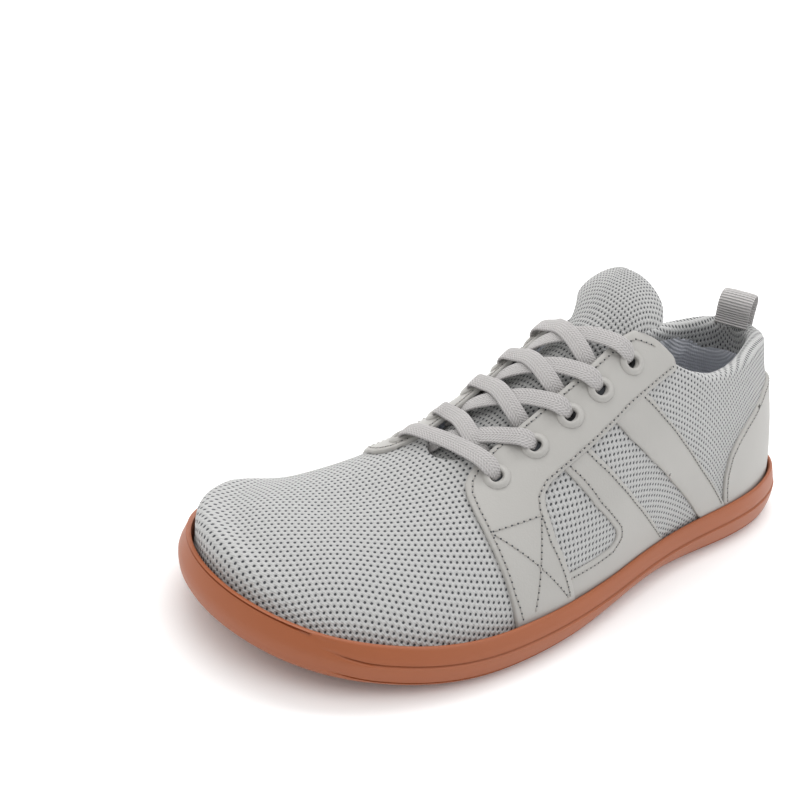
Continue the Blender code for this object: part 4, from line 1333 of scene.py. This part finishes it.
def add_stitches(name, rows, side, lift, sizes, colours):
    """Rows of lockstitch, each stitch a short thread between two needle holes."""
    points = []
    faces = []
    kinds = []
    width = sizes.thread_width
    for row in rows:
        corners = [np.asarray(spot) for spot in side_rows(row, side)]
        path = []
        for start, end in zip(corners, corners[1:]):
            path += [start + (end - start) * k / 12 for k in range(12)]
        path.append(corners[-1])
        line = np.array([on_wall(side, spot, lift) for spot in path])
        raised = np.array([on_wall(side, spot, lift + 0.001) for spot in path])
        run = np.concatenate([[0], np.cumsum(np.linalg.norm(np.diff(line, axis=0), axis=1))])
        total = max(1, round(run[-1] / sizes.stitch_pitch))
        marks = np.linspace(0, run[-1], total + 1)
        spots = np.stack([np.interp(marks, run, line[:, i]) for i in range(3)], -1)
        ups = np.stack([np.interp(marks, run, (raised - line)[:, i]) for i in range(3)], -1)
        ups = ups / np.linalg.norm(ups, axis=1, keepdims=True)
        for k in range(total):
            along = spots[k + 1] - spots[k]
            up = ups[k]
            beside = np.cross(up, along)
            beside = beside / np.linalg.norm(beside)
            forth = along / np.linalg.norm(along)
            before = len(faces)
            add_tube(points, faces, [
                (spots[k] + along * t + up * width * height, beside, up, width / 2 * radius)
                for t, height, radius in STITCH])
            kinds += [0] * (len(faces) - before)
            # needle holes: small dark plugs of painted shadow at each end of the stitch
            before = len(faces)
            add_tube(points, faces, [
                (spots[k] + up * height, beside, forth, width * NEEDLE_HOLE)
                for height in (0.00010, -0.00015)])
            kinds += [1] * (len(faces) - before)
    return add_piece(name, points, faces, [sewing_thread(colours), needle_hole(colours)],
                     kinds=kinds, sharp=60)


def build_overlays(sizes, colours):
    thick = sizes.leather_thick
    steps = [2 * math.pi * k / 24 for k in range(24)]
    for side, word in ((1, "lateral"), (-1, "medial")):
        holes = []
        for across, up in side_rows(EYELETS, side):
            holes.append([(across + EYELET_HOLE * math.cos(a), up + EYELET_HOLE * math.sin(a))
                          for a in steps])
        add_leather(f"stripe_and_base_{word}", soften(side_rows(STRIPE_AND_BASE, side)), [], side,
                    0.00005, thick * STRIPE_SHARE, colours)
        add_leather(f"eyestay_{word}", soften(side_rows(EYESTAY, side)), holes, side,
                    0.00010, thick * EYESTAY_SHARE, colours, node=f"quarter_panel_{word}")
        add_leather(f"rear_stripe_{word}", soften(side_rows(REAR_STRIPE, side)), [], side,
                    0.00005, thick, colours, node=f"side_stripe_{word}")
        add_stitches(f"eyestay_stitches_{word}", EYESTAY_ROWS, side, thick * EYESTAY_SHARE, sizes, colours)
        add_stitches(f"stripe_stitches_{word}", STRIPE_ROWS, side, thick * STRIPE_SHARE, sizes, colours)
        add_stitches(f"rear_stitches_{word}", REAR_ROWS, side, thick, sizes, colours)
        add_stitches(f"counter_stitches_{word}", COUNTER_ROWS, side, thick, sizes, colours)
    front = side_rows(COUNTER, 1)
    loop = front + [(-across, up) for across, up in reversed(front)]
    add_leather("heel_counter_leather", soften(loop), [], 1, 0.00005, thick, colours, node="heel_counter")


def eyelet_places(side):
    """Turn and rise of each eyelet on one side."""
    places = []
    for across, up in side_rows(EYELETS, side):
        turn = side * across / (SOLE_LENGTH / 2)
        places.append((turn, rise_over_lip(turn, up / LAST_TOP)))
    return places


def build_eyelets(sizes, colours):
    """Moulded rings of the leather's colour, rolled over at the hole."""
    base = sizes.leather_thick * EYESTAY_SHARE - 0.0001
    # radius and height over the leather
    profile = (
        (EYELET_HOLE + 0.0002, -0.0010),
        (EYELET_HOLE + 0.0001, 0.0006),
        (EYELET_HOLE + 0.0004, 0.0011),
        (EYELET_HOLE + 0.0009, 0.0013),
        (EYELET_HOLE + 0.0015, 0.0011),
        (EYELET_RADIUS - 0.0009, 0.0009),
        (EYELET_RADIUS - 0.0003, 0.0006),
        (EYELET_RADIUS, 0.0002),
        (EYELET_RADIUS, -0.0002),
        (EYELET_HOLE + 0.0008, -0.0010),
    )
    around = 40
    materials = [coated_leather(colours), needle_hole(colours)]
    for side, word in ((1, "lateral"), (-1, "medial")):
        for number, (turn, rise) in enumerate(eyelet_places(side), 1):
            middle = wall(turn, rise, base)
            normal = outward(turn, rise)
            along = face(turn + math.copysign(0.01, turn), rise) - face(turn, rise)
            along = along - normal * np.dot(along, normal)
            along = along / np.linalg.norm(along)
            across = np.cross(normal, along)
            points = []
            for radius, height in profile:
                for k in range(around):
                    angle = 2 * math.pi * k / around
                    spread = along * math.cos(angle) + across * math.sin(angle)
                    points.append(middle + spread * radius + normal * height)
            faces = tube_faces(len(profile), around)
            faces += ring_faces((len(profile) - 1) * around, 0, around)
            # the disc across the hole is a dark sheet of painted shadow, where shade falls in the hole
            kinds = [0] * len(faces) + [1]
            faces.append(tuple(range(around)))
            add_piece(f"eyelet_ring_{word}_{number}", points, faces, materials, kinds=kinds,
                      node=f"eyelet_{word}_{number}")


def add_ribbon(name, path, normals, widths, thicks, material, node=None):
    """A soft flat band along a path, domed a little and rounded at its edges."""
    path = np.asarray(path)
    normals = np.asarray(normals)
    around = 14
    points = []
    places = []
    run = np.concatenate([[0], np.cumsum(np.linalg.norm(np.diff(path, axis=0), axis=1))])
    tangents = np.gradient(path, axis=0)
    for spot, ahead, normal, width, thick, gone in zip(path, tangents, normals, widths, thicks, run):
        side = np.cross(ahead, normal)
        side = side / np.linalg.norm(side)
        up = np.cross(side, ahead)
        up = up / np.linalg.norm(up)
        for k in range(around):
            angle = 2 * math.pi * k / around
            c, s = math.cos(angle), math.sin(angle)
            x = math.copysign(abs(c) ** 0.55, c) * width / 2
            y = math.copysign(abs(s) ** 0.80, s) * thick / 2
            points.append(spot + side * x + up * y)
            places.append((x, gone))
    faces = tube_faces(len(path), around)
    faces.append(tuple(range(around)))
    faces.append(tuple(range(len(points) - around, len(points))))
    return add_piece(name, points, faces, [material], uv=places, node=node, sharp=70)


def crest_distance(turn, rise):
    return math.dist(face(turn, rise)[:2], face(turn, 1.0)[:2])


def lace_path(start, end, stations):
    """Points and normals between two places, from stations of share, lift and slide along the shoe."""
    points = []
    normals = []
    for t, lift, slide in stations:
        share = (1 - t) * float(share_of(start[0])) + t * float(share_of(end[0])) + slide
        across = math.copysign(start[1], start[0]) * (1 - t) + math.copysign(end[1], end[0]) * t
        turn = turn_of(share, 1 if across >= 0 else -1)
        rise = rise_at_half(turn, abs(across))
        points.append(wall(turn, rise, lift))
        normals.append(outward(turn, rise))
    return points, normals


def smooth_path(points, normals, count):
    """A path through the given points with even steps, rounded by a spline."""
    keys = np.concatenate([[0], np.cumsum(np.linalg.norm(np.diff(points, axis=0), axis=1))])
    fine = np.linspace(0, keys[-1], count)
    rows = tuple((float(k), *map(float, p), *map(float, n)) for k, p, n in zip(keys, points, normals))
    values = [np.array([float(natural_curve(rows, c, at)) for at in fine]) for c in range(1, 7)]
    return np.stack(values[:3], -1), np.stack(values[3:], -1), fine / keys[-1]


def build_laces(sizes, colours):
    material = flat_lace(colours)
    width = sizes.lace_width
    thick = sizes.lace_thick
    top = sizes.leather_thick * EYESTAY_SHARE + 0.0013 + thick * 0.65
    over = []
    under = []
    for side in (1, -1):
        places = eyelet_places(side)
        over.append([(turn, crest_distance(turn, rise) - 0.0010) for turn, rise in places])
        under.append([(turn, throat_half(float(share_of(turn))) + 0.0012) for turn, _ in places])

    def bunched(shares, ends):
        """Widths and thicknesses, gathered where the lace goes into an eyelet."""
        gather = np.zeros(len(shares))
        for end in ends:
            gather = np.maximum(gather, smooth_step(0.11, 0.0, np.abs(shares - end)))
        return width * (1 - 0.42 * gather), thick * (1 + 0.75 * gather)

    def tilt(t):
        return 0.0015 * math.sin(math.pi * t)

    bar = [(-0.010, 0.0000, 0), (0.020, top * 0.75, 0), (0.075, top + 0.0005, 0), (0.25, top, 0.001),
           (0.50, top - 0.0012, 0.002), (0.75, top, 0.001), (0.925, top + 0.0005, 0), (0.980, top * 0.75, 0),
           (1.010, 0.0000, 0)]
    points, normals = lace_path(over[0][0], over[1][0], bar)
    path, ups, shares = smooth_path(points, normals, 90)
    widths, thicks = bunched(shares, (0.0, 1.0))
    add_ribbon("lace_front_bar", path, ups, widths, thicks, material, node="lace_bar")
    for k in range(len(EYELETS) - 1):
        for near in (0, 1):
            above = 0.0016 if near == 0 else 0.0
            stations = [(0.0, -0.0029, 0), (0.06, -0.0026, 0), (0.13, -0.0010, 0.0),
                        (0.22, 0.0006 + above * 0.5, 0.001), (0.36, 0.0012 + above, 0.001),
                        (0.50, 0.0014 + above, 0.0), (0.66, 0.0018 + above * 0.3, -tilt(0.66)),
                        (0.80, top * 0.72, -tilt(0.80)), (0.90, top + 0.0004, 0), (0.955, top * 0.86, 0),
                        (0.995, 0.0012, 0), (1.004, -0.0006, 0)]
            points, normals = lace_path(under[near][k], over[1 - near][k + 1], stations)
            path, ups, shares = smooth_path(points, normals, 90)
            widths, thicks = bunched(shares, (1.0,))
            word = "outer" if near == 0 else "inner"
            add_ribbon(f"lace_strand_{k + 1}_from_{word}", path, ups, widths, thicks, material,
                       node=f"lace_crossing_{k + 1}")


def build_loop(colours):
    edge = edge_rise(LOOP_TURN)
    top = face(LOOP_TURN, edge)
    away = outward(LOOP_TURN, edge) * [1, 1, 0]
    away = away / np.linalg.norm(away)
    outside = 0.0009 + LOOP_THICK / 2
    start = top + away * outside
    middle = start - away * LOOP_RADIUS + UP * (LOOP_HEIGHT - LOOP_RADIUS)
    points = [wall(LOOP_TURN, edge - 0.16, outside), wall(LOOP_TURN, edge - 0.10, outside),
              wall(LOOP_TURN, edge - 0.05, outside), start + away * 0.0006 + UP * 0.002]
    for k in range(9):
        angle = math.pi * k / 8
        points.append(middle + (away * math.cos(angle) + UP * math.sin(angle)) * LOOP_RADIUS)
    foot = start - away * (2 * LOOP_RADIUS - 0.001)
    points += [foot + UP * 0.0045, foot + UP * 0.0010]
    side = np.cross(away, UP)
    ends = zip(points[:1] + points[:-1], points[1:] + points[-1:])
    normals = [np.cross(ahead - behind, side) for behind, ahead in ends]
    normals = [normal / np.linalg.norm(normal) for normal in normals]
    path, ups, shares = smooth_path(points, normals, 110)
    add_ribbon("heel_pull_webbing", path, ups, [LOOP_WIDTH] * len(path), [LOOP_THICK] * len(path),
               ribbed_webbing(colours), node="heel_pull_loop")


def build_stage(colours):
    """Pale sweep, soft lights and the camera of the photograph."""
    profile = [(-3.0, 0.0), (1.2, 0.0)]
    profile += [(1.2 + 0.8 * math.sin(a), 0.8 - 0.8 * math.cos(a)) for a in np.linspace(0.1, math.pi / 2, 14)]
    profile.append((2.0, 3.0))
    ahead = np.array([PHOTO_AHEAD[0], PHOTO_AHEAD[1], 0.0])
    ahead = ahead / np.linalg.norm(ahead)
    beside = np.cross(ahead, UP)
    points = [ahead * far + beside * (w * 4.0) + UP * up for far, up in profile for w in (-1, 1)]
    mesh = bpy.data.meshes.new("studio_sweep")
    mesh.from_pydata([tuple(point) for point in points], [], sheet_faces(len(profile), 2))
    mesh.shade_smooth()
    mesh.materials.append(studio_floor(colours))
    sweep = bpy.data.objects.new("studio_sweep", mesh)
    bpy.context.scene.collection.objects.link(sweep)

    shoe = (0.0, 0.0, 0.03)
    wall_low, wall_high = (tuple(ahead * far + UP * up) for far, up in ((0.7, 1.5), (1.9, 0.5)))
    for name, place, target, size, watts, colour in (
            ("softbox_top", (0.10, 0.15, 1.30), shoe, 1.6, 7.0, "#FFFFFF"),
            ("softbox_left", (0.95, -0.35, 0.75), shoe, 0.9, 2.3, "#FFFDFA"),
            ("softbox_right", (-0.55, 0.95, 0.70), shoe, 0.9, 3.2, "#FAFCFF"),
            ("softbox_backdrop", wall_low, wall_high, 1.6, 30.0, "#FFFFFF")):
        lamp = bpy.data.lights.new(name, "AREA")
        lamp.energy = watts
        lamp.size = size
        lamp.color = linear(colour)
        light = bpy.data.objects.new(name, lamp)
        light.location = place
        light.rotation_euler = (Vector(target) - Vector(place)).to_track_quat("-Z", "Y").to_euler()
        bpy.context.scene.collection.objects.link(light)

    world = bpy.data.worlds.new("studio_air")
    world.use_nodes = True
    world.node_tree.nodes["Background"].inputs[0].default_value = (*linear("#FFFFFF"), 1)
    world.node_tree.nodes["Background"].inputs[1].default_value = 0.58
    bpy.context.scene.world = world
    bpy.context.scene.view_settings.view_transform = "Standard"

    lens = bpy.data.cameras.new("photo_camera")
    lens.lens = PHOTO_LENS
    lens.sensor_width = 36
    lens.clip_start = 0.01
    lens.dof.use_dof = False
    camera = bpy.data.objects.new("photo_camera", lens)
    axes = (Vector(PHOTO_RIGHT), Vector(PHOTO_UP), -Vector(PHOTO_AHEAD))
    turned = Matrix([axis.normalized() for axis in axes]).transposed().to_4x4()
    camera.matrix_world = Matrix.Translation(PHOTO_PLACE) @ turned
    bpy.context.scene.collection.objects.link(camera)
    bpy.context.scene.camera = camera


class SHOE_OT_outsole(bpy.types.Operator):
    """Moulds the cup outsole with its grooves and tread"""
    bl_idname = "shoe.outsole"
    bl_label = "Outsole"

    def execute(self, context):
        build_outsole(context.scene.shoe_sizes, context.scene.shoe_colours)
        return {"FINISHED"}


class SHOE_OT_upper(bpy.types.Operator):
    """Draws the air mesh upper and its lining over the last"""
    bl_idname = "shoe.upper"
    bl_label = "Upper"

    def execute(self, context):
        build_upper(context.scene.shoe_sizes, context.scene.shoe_colours)
        return {"FINISHED"}


class SHOE_OT_insole(bpy.types.Operator):
    """Lays the insole into the cup"""
    bl_idname = "shoe.insole"
    bl_label = "Insole"

    def execute(self, context):
        build_insole(context.scene.shoe_colours)
        return {"FINISHED"}


class SHOE_OT_tongue(bpy.types.Operator):
    """Pads the tongue"""
    bl_idname = "shoe.tongue"
    bl_label = "Tongue"

    def execute(self, context):
        build_tongue(context.scene.shoe_sizes, context.scene.shoe_colours)
        return {"FINISHED"}


class SHOE_OT_overlays(bpy.types.Operator):
    """Cuts the leather overlays and sews them on"""
    bl_idname = "shoe.overlays"
    bl_label = "Leather overlays"

    def execute(self, context):
        build_overlays(context.scene.shoe_sizes, context.scene.shoe_colours)
        return {"FINISHED"}


class SHOE_OT_eyelets(bpy.types.Operator):
    """Sets the ten eyelet rings"""
    bl_idname = "shoe.eyelets"
    bl_label = "Eyelets"

    def execute(self, context):
        build_eyelets(context.scene.shoe_sizes, context.scene.shoe_colours)
        return {"FINISHED"}


class SHOE_OT_laces(bpy.types.Operator):
    """Threads the flat lace"""
    bl_idname = "shoe.laces"
    bl_label = "Laces"

    def execute(self, context):
        build_laces(context.scene.shoe_sizes, context.scene.shoe_colours)
        return {"FINISHED"}


class SHOE_OT_pull_loop(bpy.types.Operator):
    """Sews the webbing loop on the heel"""
    bl_idname = "shoe.pull_loop"
    bl_label = "Heel pull loop"

    def execute(self, context):
        build_loop(context.scene.shoe_colours)
        return {"FINISHED"}


class SHOE_OT_stage(bpy.types.Operator):
    """Sets up the sweep, the lights and the camera"""
    bl_idname = "shoe.stage"
    bl_label = "Stage"

    def execute(self, context):
        build_stage(context.scene.shoe_colours)
        return {"FINISHED"}


OPERATORS = (SHOE_OT_stage, SHOE_OT_outsole, SHOE_OT_upper, SHOE_OT_insole, SHOE_OT_tongue,
             SHOE_OT_overlays, SHOE_OT_eyelets, SHOE_OT_laces, SHOE_OT_pull_loop)


class SHOE_PT_panel(bpy.types.Panel):
    """Pieces, sizes and colours of the shoe"""
    bl_idname = "SHOE_PT_panel"
    bl_label = "Barefoot shoe"
    bl_space_type = "VIEW_3D"
    bl_region_type = "UI"
    bl_category = "Shoe"

    def draw(self, context):
        for operator in OPERATORS:
            self.layout.operator(operator.bl_idname)
        for group in (context.scene.shoe_sizes, context.scene.shoe_colours):
            for name in group.__annotations__:
                self.layout.prop(group, name)


CLASSES = (ShoeSizes, ShoeColours) + OPERATORS + (SHOE_PT_panel,)


def register():
    for kind in CLASSES:
        bpy.utils.register_class(kind)
    bpy.types.Scene.shoe_sizes = bpy.props.PointerProperty(type=ShoeSizes)
    bpy.types.Scene.shoe_colours = bpy.props.PointerProperty(type=ShoeColours)


def unregister():
    del bpy.types.Scene.shoe_colours
    del bpy.types.Scene.shoe_sizes
    for kind in reversed(CLASSES):
        bpy.utils.unregister_class(kind)


def main():
    register()
    bpy.ops.shoe.stage()
    bpy.ops.shoe.outsole()
    bpy.ops.shoe.upper()
    bpy.ops.shoe.insole()
    bpy.ops.shoe.tongue()
    bpy.ops.shoe.overlays()
    bpy.ops.shoe.eyelets()
    bpy.ops.shoe.laces()
    bpy.ops.shoe.pull_loop()


if __name__ == "__main__":
    main()
